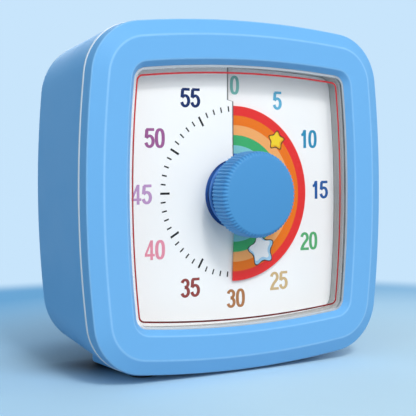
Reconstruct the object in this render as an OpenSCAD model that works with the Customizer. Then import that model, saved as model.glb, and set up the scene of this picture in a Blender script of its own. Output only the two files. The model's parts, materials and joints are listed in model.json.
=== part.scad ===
// Visual countdown timer: a soft square case with a knob that winds a helical
// time disc out through the slit of a helical dial.
// X runs to the right, Y from front to back and Z up. All sizes are in millimetres.

/* [Case] */
// Width and height of the case across its bowed sides
face_w = 80; // [78:0.5:86]
// Depth of the case from its flat front to its back
case_depth = 36.3; // [36:0.1:42]
// Thickness of the case walls
wall = 2; // [1.6:0.1:2.4]
// Radius of the bow of each side
side_bow = 246; // [180:1:400]
// Radius of the case corners
corner_r = 12.5; // [11:0.1:15]
// How far the back is drawn in on each side
back_inset = 2.65; // [1:0.05:3.2]
// Corner radius of the drawn-in back
back_corner_r = 13.1; // [12:0.1:15]
// Bevel round the back edge
back_bevel = 1.5; // [0.8:0.1:2]
// Width of the bevel round the front
bevel_w = 3.45; // [2:0.05:3.8]
// Depth of the bevel round the front
bevel_depth = 1.52; // [0.8:0.02:1.8]
// Depth of the front half of the case, up to the seam
seam_depth = 5.1; // [4.8:0.1:5.4]
// Thickness of the trim band in the seam
band_t = 0.6; // [0.4:0.05:0.9]
// Height of the trim band above the case
band_proud = 0.1; // [0.05:0.05:0.3]

/* [Window] */
// Width of the flat frame between the case side and the window
frame_w = 8.9; // [8:0.1:10]
// Width of the sloped lip
lip_w = 1.3; // [0.8:0.1:1.6]
// Depth of the sloped lip, where the lens starts
lip_depth = 1.5; // [1.2:0.1:1.7]
// Radius of the bow of each window side
window_bow = 251; // [180:1:400]
// Corner radius of the window
window_corner_r = 2.9; // [2.4:0.1:4]
// Thickness of the lens
lens_t = 1.2; // [1:0.1:1.4]
// How far the lens reaches behind the lip
lens_grip = 2.2; // [1.8:0.1:2.4]
// Radius of the hole in the lens for the knob's boss
lens_hole_r = 4.5; // [4.2:0.1:6]

/* [Dial and disc] */
// Depth of the dial where it starts, right of the slit
dial_depth = 7.2; // [7:0.05:7.4]
// Climb of dial and disc over one turn
sheet_pitch = 1.6; // [1.5:0.05:1.7]
// Thickness of the dial sheet
dial_t = 0.4; // [0.3:0.05:0.5]
// Thickness of the time disc
disc_t = 0.4; // [0.3:0.05:0.5]
// Radius of the time disc
disc_r = 20.4; // [18:0.1:22]
// Distance of the slit to the left of the main axis
slit_x = 0.6; // [0:0.1:1]
// Further sideways step of the slit outside the disc
slit_step = 1.4; // [0.8:0.1:2]
// Minutes that the disc shows at rest
minutes_shown = 30.4; // [10:0.2:50]
// Radius of the disc hub
hub_r = 7.75; // [7.2:0.05:8.2]
// Depth of the hub's front
hub_depth = 4.3; // [4.1:0.1:4.4]
// Thickness of the tray walls
tray_wall = 1.4; // [1.2:0.1:1.5]
// Thickness of the tray floor
floor_t = 1.2; // [1.2:0.1:1.6]
// Height of the dial centre above the case centre
axis_rise = 0.5; // [0:0.1:0.8]

/* [Knob] */
// Radius of the knob over its ribs
knob_r = 9.8; // [9:0.1:11]
// How far the knob stands out in front of the case
knob_proud = 5; // [4:0.1:8]
// Gap between the knob and the lens
knob_gap = 1.15; // [0.4:0.05:1.4]
// Number of ribs round the knob
knob_ribs = 70; // [40:1:80]
// Height of the knob ribs
rib_h = 0.3; // [0.15:0.05:0.4]
// Wall thickness of the knob
knob_wall = 1.4; // [1:0.1:1.8]
// Radius of the spindle
spindle_r = 1.5; // [1.3:0.05:1.7]

/* [Movement] */
// Teeth of the centre wheel
centre_teeth = 64; // [60:1:66]
// Teeth of the third and second wheels
wheel_teeth = 60; // [56:1:60]
// Leaves of each pinion
pinion_leaves = 8; // [8:1:9]
// Gear module of the centre wheel
centre_module = 0.2; // [0.19:0.005:0.205]
// Gear module of the third wheel
third_module = 0.18; // [0.175:0.005:0.185]
// Gear module of the second wheel
second_module = 0.16; // [0.155:0.005:0.165]
// Thickness of the wheels
wheel_t = 0.6; // [0.5:0.05:0.7]
// Radius of the arbors
arbor_r = 0.5; // [0.4:0.05:0.6]
// Radius of the rotor magnet
magnet_r = 2.2; // [2:0.1:2.4]

/* [Cell] */
// Radius of the cell
cell_r = 7.1; // [6.9:0.05:7.2]
// Length of the cell body
cell_len = 49; // [48:0.5:49.5]

/* [Fasteners and feet] */
// Radius of the case screw heads
screw_head_r = 1.9; // [1.7:0.05:2]
// Radius of the case screw shanks
screw_r = 0.95; // [0.8:0.05:1.1]
// Radius of the rubber feet
foot_r = 3; // [2.5:0.1:3.3]
// Height of the case above the surface that it stands on
foot_proud = 0.7; // [0.6:0.1:1.5]

/* [Hidden] */

// Round shapes
$fn = 48;
// Overlap that keeps a cut open
cut = 0.2;
// Thickness of the slices that a hull joins
slice = 0.01;
// Radial running clearance of a shaft in its bore
run = 0.05;
// Clearance of a piece in its seat
fit = 0.15;
// Clearance between moving sheets, edges and walls
clear = 0.35;

// Places of the case
total_depth = case_depth + knob_proud;
face_y = knob_proud - total_depth / 2;
case_z = face_w / 2 + foot_proud;
axis_z = case_z + axis_rise;
rear_start = seam_depth + band_t;
back_wall_depth = case_depth - wall;
side_steps = 6;
corner_steps = 8;
touch = 0.02;

// Places of the window, lens and tray
window_w = face_w - 2 * (frame_w + lip_w);
front_wall = bevel_depth + 0.4;
lens_back = lip_depth + lens_t;
lens_half = window_w / 2 + lens_grip;
rib_t = 1.6;
rib_half = lens_half + fit + rib_t;
rib_drop = 0.9;
rib_depth = seam_depth - rib_drop;
tray_half = window_w / 2 + tray_wall;
ear_t = 1.2;
ear_depth = rib_depth + 0.1;
ear_root = 1.2;
blind_end = 0.5;
ear_z = 14;
ear_x = (rib_half + face_w / 2 - wall) / 2 - ear_z * ear_z / (2 * side_bow);
ear_r = 1.7;

// Places of the sheets: the disc lies half a pitch in front of the dial
disc_lift = sheet_pitch / 2;
sheet_steps = 96;
disc_steps = 72;
shown_angle = minutes_shown * 6;
slide_back = sheet_pitch * shown_angle / 360;
hub_barrel_r = hub_r - 1.05;
hub_flange_t = 0.8;
hub_back = dial_depth - disc_lift + sheet_pitch - slide_back + disc_t + 0.3;
dial_hole_r = hub_r + clear;
floor_depth = hub_back + slide_back + 0.3;
floor_back = floor_depth + floor_t;
jog_r = disc_r + 1;
tray_hole_r = 3.4;
support_r = 1.2;
support_ring_r = window_w / 2 - support_r - 1;
support_angles = [20, 70, 110, 160, 200, 250, 290, 340];

// Places of the knob
knob_front = -knob_proud;
knob_back = lip_depth - knob_gap;
knob_boss_r = lens_hole_r - 1;
spindle_front = knob_front + knob_wall + 0.2;

// Places of the movement, from its plate backwards
plate_t = 1.2;
plate_back = floor_back + plate_t;
flange_depth = plate_back + 0.2;
flange_t = 0.9;
flange_r = 2.8;
centre_depth = flange_depth + flange_t + 0.1;
centre_t = wheel_t + 0.2;
washer_depth = centre_depth + centre_t + run;
washer_rise = 0.45;
washer_t = 0.15;
clip_depth = washer_depth + washer_rise + washer_t + 0.05;
clip_t = 0.5;
groove_r = spindle_r - 0.3;
third_depth = clip_depth + clip_t + 0.3;
second_depth = third_depth + wheel_t + 1.3;
magnet_depth = second_depth + wheel_t + 1;
magnet_t = 2.8;
stator_t = 1;
stator_depth = magnet_depth + (magnet_t - stator_t) / 2;
cover_depth = magnet_depth + magnet_t + 1.4;
cover_wall = 1.2;
cover_back = cover_depth + cover_wall;
pivot_front = floor_back + 0.3;
pivot_back = cover_back - 0.4;
rear_pivot_r = 0.9;
cover_x = 14.3;
cover_bottom = -9.3;
cover_top = 21.8;
movement_ear_x = 18;
movement_ear_r = 2.4;

// Gear train: each pair meshes on the line between its two centres
pinion_d = pinion_leaves;
centre_dist = centre_module * (centre_teeth + pinion_d) / 2;
third_dist = third_module * (wheel_teeth + pinion_d) / 2;
second_dist = second_module * (wheel_teeth + pinion_d) / 2;
rotor_at = [0, 10];
second_angle = 205.7;
second_at = rotor_at + second_dist * [cos(second_angle), sin(second_angle)];
third_at = meet(second_at, centre_dist, third_dist);

// Coil and stator
coil_z = 17.5;
coil_half = 7.6;
core_half = 11;
core_w = 3.2;
core_depth = stator_depth - stator_t;
bobbin_r = 2.2;
flange_coil_r = 3.6;
bobbin_flange_t = 0.8;
winding_r = 3.3;
arm_w = 2.4;
post_x = 9.8;
post_z = 8;
pole_r = magnet_r + 0.7;
pole_rim = 0.9;
coil_lead_r = 0.2;
coil_lead_x = coil_half - bobbin_flange_t / 2;
coil_lead_z = coil_z + 2.9;

// Cell bay, its door and contacts
contact_t = 0.4;
contact_w = 9;
tab_w = 3;
tab_len = 1.6;
nub_r = 2.7;
nub_len = 1.3;
spring_len = 4.9;
bay_half_x = (cell_len + nub_len + spring_len) / 2 + contact_t;
bay_h = 2 * cell_r + 0.8;
bay_rise = 15.5;
bay_z = bay_rise - face_w / 2;
bay_wall = 1.2;
cell_depth = back_wall_depth - cell_r - 1.2;
bay_front = cell_depth - cell_r - 0.5;
tab_depth = bay_front - bay_wall - tab_len;
cell_x = bay_half_x - contact_t - touch - nub_len - cell_len / 2;
door_lap = 0.8;
door_half_x = bay_half_x + door_lap;
door_h = bay_h + 1.5 * door_lap;
door_t = 1.4;
door_top = bay_z + door_h / 2 - fit;
hinge_depth = case_depth - door_t / 2;
hinge_z = door_top - door_t / 2;
door_rib_h = 1;
door_rib_t = 1;
door_rib_x = 9;
thumb_r = 4.5;
tongue_x = bay_half_x - 10;
tongue_w = 6;
tongue_t = 1.1;
tongue_len = 1.6;
tongue_depth = back_wall_depth - 0.15 - tongue_t;

// Screws through the back into the tray's posts, two above and two below
boss_r = 2.9;
post_r = 2.6;
upper_screw = [tray_half - 6.2, tray_half - 4.2];
lower_screw = [tray_half - 5.2, bay_z + bay_h / 2 + bay_wall + boss_r + 0.4];
screw_places = [for (side = [1, -1], place = [upper_screw, lower_screw]) [side * place.x, place.y]];
boss_end = floor_back + 4;
seat_web = 4.4;
seat_depth = boss_end + seat_web;
screw_len = 7;
head_t = 1.6;

// Circuit board, buzzer and switch
board_t = 1;
board_h = 12;
board_room = 2.35;
board_top = face_w / 2 - back_inset - wall - board_room;
board_bottom = board_top - board_h;
board_half_x = upper_screw.x - boss_r - 0.6;
board_stand = 3.8;
board_depth = back_wall_depth - board_stand - board_t;
board_z = (board_bottom + board_top) / 2;
board_back = board_depth + board_t;
board_post_r = 1.9;
board_post_x = board_half_x - 2.5;
board_post_gap = 0.6;
board_screw_len = 3;
buzzer_r = 5.5;
buzzer_t = 3.3;
buzzer_x = -(board_post_x - board_post_r - board_post_gap - buzzer_r);
switch_w = 12;
switch_h = 5;
switch_t = 3;
switch_x = board_post_x - board_post_r - board_post_gap - switch_w / 2;
slider_w = 4.2;
slider_h = 2.2;
slider_t = 1.4;
lever_w = 2.6;
lever_h = 1.8;
switch_travel = 2.5;
slot_count = 5;
slot_gap = 2.2;
slot_w = 1.1;
slot_len = 7;
chip_r = 3.2;
chip_t = 1;
crystal_r = 1;
crystal_len = 6;
crystal_x = chip_r + 2.8;
crystal_drop = 2;

// Insulated leads from the contacts to the board
lead_r = 0.5;
lead_gap = 0.7;
lead_x = lower_screw.x - boss_r - lead_r - lead_gap;
lead_pad = 3.5;
lead_end = [board_post_x - lead_pad, board_depth - touch, board_bottom + lead_pad / 2];
lead_run_depth = (floor_back + tab_depth) / 2;
lead_start = [bay_half_x - lead_r - contact_t, tab_depth - touch, bay_z];
lead_low = [lead_x, tab_depth, lower_screw.y + boss_r + 2 * lead_r];
lead_high = [lead_end.x, board_depth, board_bottom];
lead_sides = 8;
lead_steps = 5;

// Small screws of the tray, the movement and the board
small_screw_r = 0.75;
small_head_r = 1.4;
small_head_t = 0.9;

// Runners under the case and the feet in them
runner_gap = 18;
runner_x = face_w / 2 - runner_gap;
runner_r = 4;
runner_bottom = foot_proud - 0.2;
front_foot_depth = 11.5;
rear_foot_gap = 7.8;
foot_depths = [front_foot_depth, case_depth - rear_foot_gap];
foot_seat = runner_bottom + 0.7;

// Colours
case_blue = [0.47, 0.73, 0.97];
knob_blue = [0.34, 0.62, 0.86];
hub_blue = [0.16, 0.33, 0.66];
white_plastic = [0.95, 0.95, 0.95];
steel = [0.75, 0.76, 0.78];
brass = [0.85, 0.7, 0.35];

function spun(point, angle) =
    [point.x * cos(angle) - point.y * sin(angle), point.x * sin(angle) + point.y * cos(angle)];

// Corner centre of a square with bowed sides, where the side arc meets the corner arc
function corner_centre(half, bow, corner) =
    let (reach = bow - half, seat = bow - corner)
    (sqrt(2 * seat * seat - reach * reach) - reach) / 2;

// Outline of a square with bowed sides and round corners
function bowed_square(half, bow, corner) =
    let (
        reach = bow - half,
        centre = corner_centre(half, bow, corner),
        turn = atan2(centre, centre + reach),
        side = [for (i = [0 : side_steps]) let (a = turn * (2 * i / side_steps - 1))
            [bow * cos(a) - reach, bow * sin(a)]],
        bend = [for (i = [1 : corner_steps - 1]) let (a = turn + (90 - 2 * turn) * i / corner_steps)
            [centre + corner * cos(a), centre + corner * sin(a)]]
    )
    [for (quarter = [0 : 3]) for (point = concat(side, bend)) spun(point, 90 * quarter)];

// Distance from the centre to the outline of a bowed square in one direction
function outline_reach(half, bow, corner, angle) =
    let (
        reach = bow - half,
        centre = corner_centre(half, bow, corner),
        turn = atan2(centre, centre + reach),
        edge = atan2(bow * sin(turn), bow * cos(turn) - reach),
        local = abs(((angle + 45) % 90 + 90) % 90 - 45),
        across = centre * (cos(local) + sin(local)),
        beside = centre * (cos(local) - sin(local))
    )
    local < edge ? sqrt(bow * bow - pow(reach * sin(local), 2)) - reach * cos(local)
        : across + sqrt(corner * corner - beside * beside);

// Half width of the drawn-in case at a depth
function half_at(depth) =
    face_w / 2 - back_inset * max(0, depth - rear_start) / (case_depth - rear_start);

// Place of an arbor at set distances from the main axis and from another arbor
function meet(other, from_axis, from_other) =
    let (
        span = norm(other),
        along = (from_axis * from_axis - from_other * from_other + span * span) / (2 * span),
        out = sqrt(from_axis * from_axis - along * along),
        unit = other / span
    )
    [unit.x * along - unit.y * out, unit.y * along + unit.x * out];

function direction(from, to) = atan2(to.y - from.y, to.x - from.x);

// Gear outline with straight flanks; a tooth or a gap points at the angle
function gear_points(teeth, size, at, gap_first) =
    let (
        pitch_r = size * teeth / 2,
        step = 360 / teeth,
        start = at + (gap_first ? step / 2 : 0)
    )
    [for (i = [0 : teeth - 1]) for (corner = [[-0.27, -1.15], [-0.12, 0.8], [0.12, 0.8], [0.27, -1.15]])
        let (a = start + step * (i + corner.x), r = pitch_r + size * corner.y)
        [r * cos(a), r * sin(a)]];

// Extrudes a front view between two depths behind the flat front of the case
module slab(front, back, centre = [0, 0]) {
    translate([centre.x, face_y + back, case_z + centre.y])
        rotate([90, 0, 0])
            linear_extrude(back - front)
                children();
}

// The same, centred on the main axis or on an arbor near it
module axis_slab(front, back, at = [0, 0]) {
    slab(front, back, [at.x, at.y + axis_rise]) children();
}

// A round pin or bore along Y
module rod(front, back, r, centre = [0, 0]) {
    translate([centre.x, face_y + front, case_z + centre.y])
        rotate([-90, 0, 0])
            cylinder(h = back - front, r = r);
}

module axis_rod(front, back, r, at = [0, 0]) {
    rod(front, back, r, [at.x, at.y + axis_rise]);
}

// Turns a profile of [radius, depth] points about an arbor
module turned(profile, at = [0, 0]) {
    translate([at.x, face_y, axis_z + at.y])
        rotate([-90, 0, 0])
            rotate_extrude()
                polygon(profile);
}

// A box between two depths, centred on a point of the front view
module block(front, back, w, h, centre = [0, 0]) {
    slab(front, back, centre) square([w, h], center = true);
}

module case_outline(inset = 0) {
    polygon(bowed_square(face_w / 2 - inset, side_bow - inset, corner_r - inset));
}

module drawn_outline(depth, inset = 0) {
    half = half_at(depth);
    blend = (face_w / 2 - half) / back_inset;
    corner = corner_r + (back_corner_r - corner_r) * blend;
    polygon(bowed_square(half - inset, side_bow - inset, corner - inset));
}

module window_outline(grow = 0) {
    polygon(bowed_square(window_w / 2 + grow, window_bow + grow, window_corner_r + grow));
}

module ear_places() {
    for (x = [-ear_x, ear_x], z = [-ear_z, ear_z])
        translate([x, 0, z]) children();
}

// Front half of the case: bevelled face, sloped window lip, lens frame and screw posts
module front_bezel() {
    color(case_blue)
    difference() {
        union() {
            difference() {
                union() {
                    hull() {
                        slab(0, slice) case_outline(bevel_w);
                        slab(bevel_depth, bevel_depth + slice) case_outline();
                    }
                    slab(bevel_depth, seam_depth) case_outline();
                }
                slab(front_wall, seam_depth + cut)
                    difference() {
                        case_outline(wall);
                        window_outline(rib_half - window_w / 2);
                    }
                slab(rib_depth, seam_depth + cut) case_outline(wall);
            }
            ear_places() rod(front_wall, ear_depth, ear_r);
        }
        hull() {
            slab(-slice, 0) window_outline(lip_w);
            slab(lip_depth - slice, lip_depth) window_outline();
        }
        slab(lip_depth - cut, lip_depth + cut) window_outline();
        slab(lip_depth, seam_depth + cut) window_outline(lens_grip + fit);
        ear_places() rod(front_wall + blind_end, seam_depth, small_screw_r + run);
    }
}

// Clear lens, clamped between the lip and the tray
module lens() {
    color([0.85, 0.92, 0.95, 0.3])
    difference() {
        slab(lip_depth, lens_back) window_outline(lens_grip);
        axis_rod(lip_depth - cut, lens_back + cut, lens_hole_r);
    }
}

// Silver trim band between the two halves of the case
module seam_band() {
    color("silver")
    difference() {
        slab(seam_depth, rear_start) case_outline(-band_proud);
        slab(seam_depth - cut, rear_start + cut) case_outline(wall - fit);
    }
}

module screw_bosses(front, back, r) {
    for (place = screw_places)
        rod(front, back, r, place);
}

// Outline of the two runners, seen from below
module runner_bars(height) {
    for (x = [-runner_x, runner_x])
        translate([x, face_y, runner_bottom])
            linear_extrude(height)
                hull()
                    for (depth = foot_depths)
                        translate([0, depth]) circle(runner_r);
}

module foot_columns(bottom, top, r) {
    for (x = [-runner_x, runner_x], depth = foot_depths)
        translate([x, face_y + depth, bottom])
            cylinder(h = top - bottom, r = r);
}

// Rear half of the case: drawn-in tub on two runners, with cell bay, screw bosses, sound slots and switch slot
module rear_shell() {
    color(case_blue)
    difference() {
        union() {
            difference() {
                union() {
                    hull() {
                        slab(rear_start, rear_start + slice) drawn_outline(rear_start);
                        slab(case_depth - back_bevel - slice, case_depth - back_bevel)
                            drawn_outline(case_depth - back_bevel);
                        slab(case_depth - slice, case_depth) drawn_outline(case_depth, back_bevel);
                    }
                    runner_bars(runner_r + back_inset);
                }
                hull() {
                    slab(rear_start - cut, rear_start) drawn_outline(rear_start, wall);
                    slab(back_wall_depth - slice, back_wall_depth) drawn_outline(back_wall_depth, wall);
                }
            }
            block(bay_front - bay_wall, back_wall_depth + slice, 2 * (bay_half_x + bay_wall),
                bay_h + 2 * bay_wall, [0, bay_z]);
            screw_bosses(boss_end, back_wall_depth + slice, boss_r);
            for (x = [-board_post_x, board_post_x])
                rod(board_back, back_wall_depth + slice, board_post_r, [x, board_z]);
        }
        // cell bay, door seat, notches for the door's tongues and a thumb notch
        block(bay_front, case_depth + cut, 2 * bay_half_x, bay_h, [0, bay_z]);
        block(case_depth - door_t - 0.1, case_depth + cut, 2 * (door_half_x + fit), door_h, [0, bay_z]);
        for (x = [-tongue_x, tongue_x]) {
            block(tongue_depth - 1.2, back_wall_depth, tongue_w + 2 * clear, 2 * (bay_wall + cut),
                [x, bay_z + bay_h / 2]);
            block(back_wall_depth - cut, case_depth - door_t, tongue_w + 2 * clear, 2,
                [x, door_top + fit - 1]);
        }
        rod(case_depth - 1, case_depth + cut, thumb_r, [0, bay_z - door_h / 2]);
        // screw holes with deep counterbores
        screw_bosses(seat_depth, case_depth + cut, screw_head_r + 0.3);
        screw_bosses(boss_end - cut, seat_depth + cut, screw_r + fit);
        for (x = [-board_post_x, board_post_x])
            rod(board_back - cut, back_wall_depth - 0.4, small_screw_r + run, [x, board_z]);
        // slots of the contact tabs, sound slots and the slot of the volume switch
        for (side = [-1, 1])
            block(bay_front - bay_wall - cut, bay_front + cut, contact_t + fit, tab_w + fit,
                [side * (bay_half_x - contact_t / 2), bay_z]);
        for (i = [0 : slot_count - 1])
            block(back_wall_depth - cut, case_depth + cut, slot_w, slot_len,
                [buzzer_x + slot_gap * (i - (slot_count - 1) / 2), board_z]);
        block(back_wall_depth - cut, case_depth + cut, lever_w + 2 * (switch_travel + clear),
            lever_h + 2 * clear, [switch_x, board_z]);
        // seats of the feet
        foot_columns(0, foot_seat, foot_r + fit);
    }
}

// White tray behind the lens: walls, floor, four ears, posts under the dial and posts of the case screws
module dial_tray() {
    color(white_plastic)
    difference() {
        union() {
            difference() {
                slab(lens_back, floor_back) window_outline(tray_wall);
                slab(lens_back - cut, floor_depth) window_outline();
            }
            for (x = [-1, 1], z = [-ear_z, ear_z])
                slab(ear_depth, ear_depth + ear_t)
                    hull() {
                        translate([x * ear_x, z]) circle(ear_r);
                        translate([x * (tray_half - ear_root), z]) square(2 * ear_r, center = true);
                    }
            screw_bosses(floor_back - slice, boss_end, post_r);
            for (angle = support_angles)
                axis_rod(dial_depth_at(angle) + dial_t + touch, floor_depth + slice, support_r,
                    support_ring_r * [sin(angle), cos(angle)]);
        }
        ear_places() rod(ear_depth - cut, ear_depth + ear_t + cut, small_screw_r + run);
        screw_bosses(floor_back + fit, boss_end + cut, screw_r + run);
        axis_rod(floor_depth - cut, floor_back + cut, tray_hole_r);
        for (x = [-movement_ear_x, movement_ear_x])
            axis_rod(floor_depth - cut, floor_back + cut, small_screw_r + run, [x, 0]);
    }
}

// Point of a sheet, clockwise from the top about the main axis
function sheet_point(r, angle, depth) = [r * sin(angle), depth, r * cos(angle)];

// Sheet over a grid of front points, open along the slit
module sheet(grid, thickness) {
    steps = len(grid) - 1;
    rings = len(grid[0]);
    points = [for (row = grid) for (point = row) for (side = [0, 1]) point + [0, side * thickness, 0]];
    function index(i, j, side) = (i * rings + j) * 2 + side;
    quads = concat(
        [for (i = [0 : steps - 1]) for (j = [0 : rings - 2])
            [index(i, j, 0), index(i, j + 1, 0), index(i + 1, j + 1, 0), index(i + 1, j, 0)]],
        [for (i = [0 : steps - 1]) for (j = [0 : rings - 2])
            [index(i, j, 1), index(i + 1, j, 1), index(i + 1, j + 1, 1), index(i, j + 1, 1)]],
        [for (i = [0 : steps - 1])
            [index(i, 0, 0), index(i + 1, 0, 0), index(i + 1, 0, 1), index(i, 0, 1)]],
        [for (i = [0 : steps - 1]) let (j = rings - 1)
            [index(i + 1, j, 0), index(i, j, 0), index(i, j, 1), index(i + 1, j, 1)]],
        [for (j = [0 : rings - 2])
            [index(0, j + 1, 0), index(0, j, 0), index(0, j, 1), index(0, j + 1, 1)]],
        [for (j = [0 : rings - 2])
            [index(steps, j, 0), index(steps, j + 1, 0), index(steps, j + 1, 1), index(steps, j, 1)]]
    );
    triangles = [for (q = quads) for (t = [[q[0], q[1], q[2]], [q[0], q[2], q[3]]]) t];
    translate([0, face_y, axis_z]) polyhedron(points, triangles);
}

// Depth of the helical dial at an angle clockwise from the slit
function dial_depth_at(angle) = dial_depth - sheet_pitch * angle / 360;

// White dial: one turn of a helical sheet, whose slit steps aside outside the disc
module dial_face() {
    jog_end = jog_r + 0.4;
    rings = [for (place = [[dial_hole_r, slit_x], [jog_r, slit_x], [jog_end, slit_x + slit_step]])
        [place.x, asin(place.y / place.x)]];
    edge_back = asin((slit_x + slit_step) / (window_w / 2));
    grid = [for (i = [0 : sheet_steps]) let (turn = 360 * i / sheet_steps)
        concat(
            [for (ring = rings) let (angle = turn - ring[1])
                sheet_point(ring[0], angle, dial_depth_at(angle))],
            [let (
                angle = turn - edge_back,
                reach = outline_reach(window_w / 2 - clear, window_bow - clear,
                    window_corner_r - clear, angle))
                sheet_point(reach, angle, dial_depth_at(angle)) - [0, 0, axis_rise]]
        )];
    color(white_plastic) sheet(grid, dial_t);
}

// Time disc: the same helix half a pitch in front, threaded through the slit of the dial
module time_disc() {
    grid = [for (i = [0 : disc_steps])
        let (angle = shown_angle - 360 * (1 - i / disc_steps), depth = dial_depth_at(angle) - disc_lift)
        [for (r = [hub_barrel_r + run, disc_r]) sheet_point(r, angle, depth)]];
    color("tomato") sheet(grid, disc_t);
}

// Hub that carries the disc and slides on the spindle
module disc_hub() {
    color(hub_blue)
    difference() {
        turned([
            [0, hub_depth],
            [hub_r - 0.3, hub_depth],
            [hub_r, hub_depth + 0.3],
            [hub_r, hub_depth + hub_flange_t],
            [hub_barrel_r, hub_depth + hub_flange_t],
            [hub_barrel_r, hub_back],
            [0, hub_back]
        ]);
        axis_rod(hub_depth - cut, hub_back + cut, spindle_r + run);
    }
}

// Rib outline of the knob
function rib_points() =
    [for (i = [0 : knob_ribs - 1]) for (corner = [[0, rib_h], [0.35, 0], [0.65, 0]])
        let (a = 360 * (i + corner[0]) / knob_ribs, r = knob_r - corner[1])
        [r * cos(a), r * sin(a)]];

// Ribbed setting knob: a cup with a round rim, whose boss reaches through the lens
module knob() {
    rim = 1;
    ribs_from = knob_front + rim;
    face_r = knob_r - rim;
    core_r = knob_r - rib_h - run;
    cap_back = knob_front + knob_wall;
    boss_back = lens_back + 0.2;
    rim_arc = [for (a = [0 : 15 : 90])
        [face_r + (core_r - face_r) * sin(a), ribs_from - rim * cos(a)]];
    color(knob_blue)
    difference() {
        union() {
            turned(concat([[0, knob_front]], rim_arc, [[core_r, cap_back], [knob_boss_r, cap_back],
                [knob_boss_r, boss_back], [0, boss_back]]));
            axis_slab(ribs_from - fit, knob_back)
                difference() {
                    polygon(rib_points());
                    circle(knob_r - rib_h - knob_wall);
                }
        }
        axis_rod(spindle_front - 0.1, boss_back + cut, spindle_r + 0.02);
    }
}

// Steel spindle with the clutch flange, a clip groove and a thinner rear pivot
module spindle() {
    color(steel)
    turned([
        [0, spindle_front],
        [spindle_r - 0.3, spindle_front],
        [spindle_r, spindle_front + 0.3],
        [spindle_r, flange_depth],
        [flange_r, flange_depth],
        [flange_r, flange_depth + flange_t],
        [spindle_r, flange_depth + flange_t],
        [spindle_r, clip_depth],
        [groove_r, clip_depth],
        [groove_r, clip_depth + clip_t],
        [rear_pivot_r, clip_depth + clip_t],
        [rear_pivot_r, pivot_back],
        [0, pivot_back]
    ]);
}

// Open ring that holds the clutch together
module spindle_clip() {
    gap = 1.6;
    color(steel)
    difference() {
        axis_rod(clip_depth + 0.02, clip_depth + clip_t - 0.02, groove_r + 1.1);
        axis_rod(clip_depth - cut, clip_depth + clip_t + cut, groove_r + 0.02);
        axis_slab(clip_depth - cut, clip_depth + clip_t + cut)
            translate([0, groove_r + 1]) square([gap, 2 * groove_r + 2], center = true);
    }
}

// Dished washer that presses the centre wheel on the flange, so that the knob can slip
module clutch_washer() {
    inner = spindle_r + run;
    outer = flange_r - 0.1;
    color(brass)
    turned([
        [inner, washer_depth + washer_rise],
        [outer, washer_depth],
        [outer, washer_depth + washer_t],
        [inner, washer_depth + washer_rise + washer_t]
    ]);
}

// Centre wheel, loose on the spindle and gripped by the clutch
module centre_wheel() {
    color(brass)
    difference() {
        axis_slab(centre_depth, centre_depth + centre_t)
            polygon(gear_points(centre_teeth, centre_module, direction([0, 0], third_at), false));
        axis_rod(centre_depth - cut, centre_depth + centre_t + cut, spindle_r + run);
    }
}

// Arbor with a pinion, driven through the wheel that it carries
module compound_wheel(at, wheel_depth, wheel_size, wheel_at, pinion_front, pinion_back, pinion_size, pinion_at) {
    axis_slab(wheel_depth, wheel_depth + wheel_t, at)
        polygon(gear_points(wheel_teeth, wheel_size, wheel_at, false));
    axis_slab(pinion_front, pinion_back, at)
        polygon(gear_points(pinion_leaves, pinion_size, pinion_at, true));
    axis_rod(pivot_front, pivot_back, arbor_r, at);
}

module third_wheel() {
    color(white_plastic)
    compound_wheel(third_at, third_depth, third_module, direction(third_at, second_at),
        centre_depth - 0.3, third_depth + slice, centre_module, direction(third_at, [0, 0]));
}

module second_wheel() {
    color(white_plastic)
    compound_wheel(second_at, second_depth, second_module, direction(second_at, rotor_at),
        third_depth - 0.3, second_depth + slice, third_module, direction(second_at, third_at));
}

// Rotor: magnet and pinion on one arbor
module rotor() {
    color("dimgray") {
        axis_slab(second_depth - 0.3, magnet_depth + slice, rotor_at)
            polygon(gear_points(pinion_leaves, second_module, direction(rotor_at, second_at), true));
        axis_rod(magnet_depth, magnet_depth + magnet_t, magnet_r, rotor_at);
        axis_rod(pivot_front, pivot_back, arbor_r, rotor_at);
    }
}

module movement_outline(grow) {
    translate([-cover_x - grow, cover_bottom - grow])
        square([2 * (cover_x + grow), cover_top - cover_bottom + 2 * grow]);
}

module movement_ears() {
    for (x = [-1, 1])
        hull() {
            translate([x * movement_ear_x, 0]) circle(movement_ear_r);
            translate([x * cover_x, 0]) square([cover_wall, 2.5 * movement_ear_r], center = true);
        }
}

module movement_bores(front, back) {
    for (at = [third_at, second_at, rotor_at])
        axis_rod(front, back, arbor_r + run, at);
    for (x = [-movement_ear_x, movement_ear_x])
        axis_rod(front, back, small_screw_r + run, [x, 0]);
}

// Front plate of the movement, with the front bearings
module movement_plate() {
    color("ivory")
    difference() {
        axis_slab(floor_back, plate_back) {
            movement_outline(cover_wall);
            movement_ears();
        }
        axis_rod(floor_back - cut, plate_back + cut, spindle_r + run);
        movement_bores(floor_back - cut, plate_back + cut);
    }
}

// Rear housing of the movement, with the rear bearings and the stator's posts
module movement_cover() {
    color("ivory")
    difference() {
        union() {
            difference() {
                axis_slab(plate_back, cover_back) movement_outline(cover_wall);
                axis_slab(plate_back - cut, cover_depth) movement_outline(0);
            }
            axis_slab(plate_back, plate_back + plate_t)
                difference() {
                    movement_ears();
                    movement_outline(0);
                }
            for (x = [-post_x, post_x])
                axis_rod(stator_depth + stator_t, cover_depth + slice, 1, [x, post_z]);
        }
        axis_rod(cover_depth - cut, cover_back + cut, rear_pivot_r + run);
        for (x = [-coil_lead_x, coil_lead_x])
            axis_rod(cover_depth - cut, cover_back + cut, coil_lead_r + clear, [x, coil_lead_z]);
        movement_bores(cover_depth - cut, cover_back + cut);
        for (x = [-movement_ear_x, movement_ear_x])
            axis_rod(plate_back - cut, plate_back + plate_t + cut, small_screw_r + run, [x, 0]);
    }
}

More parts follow.
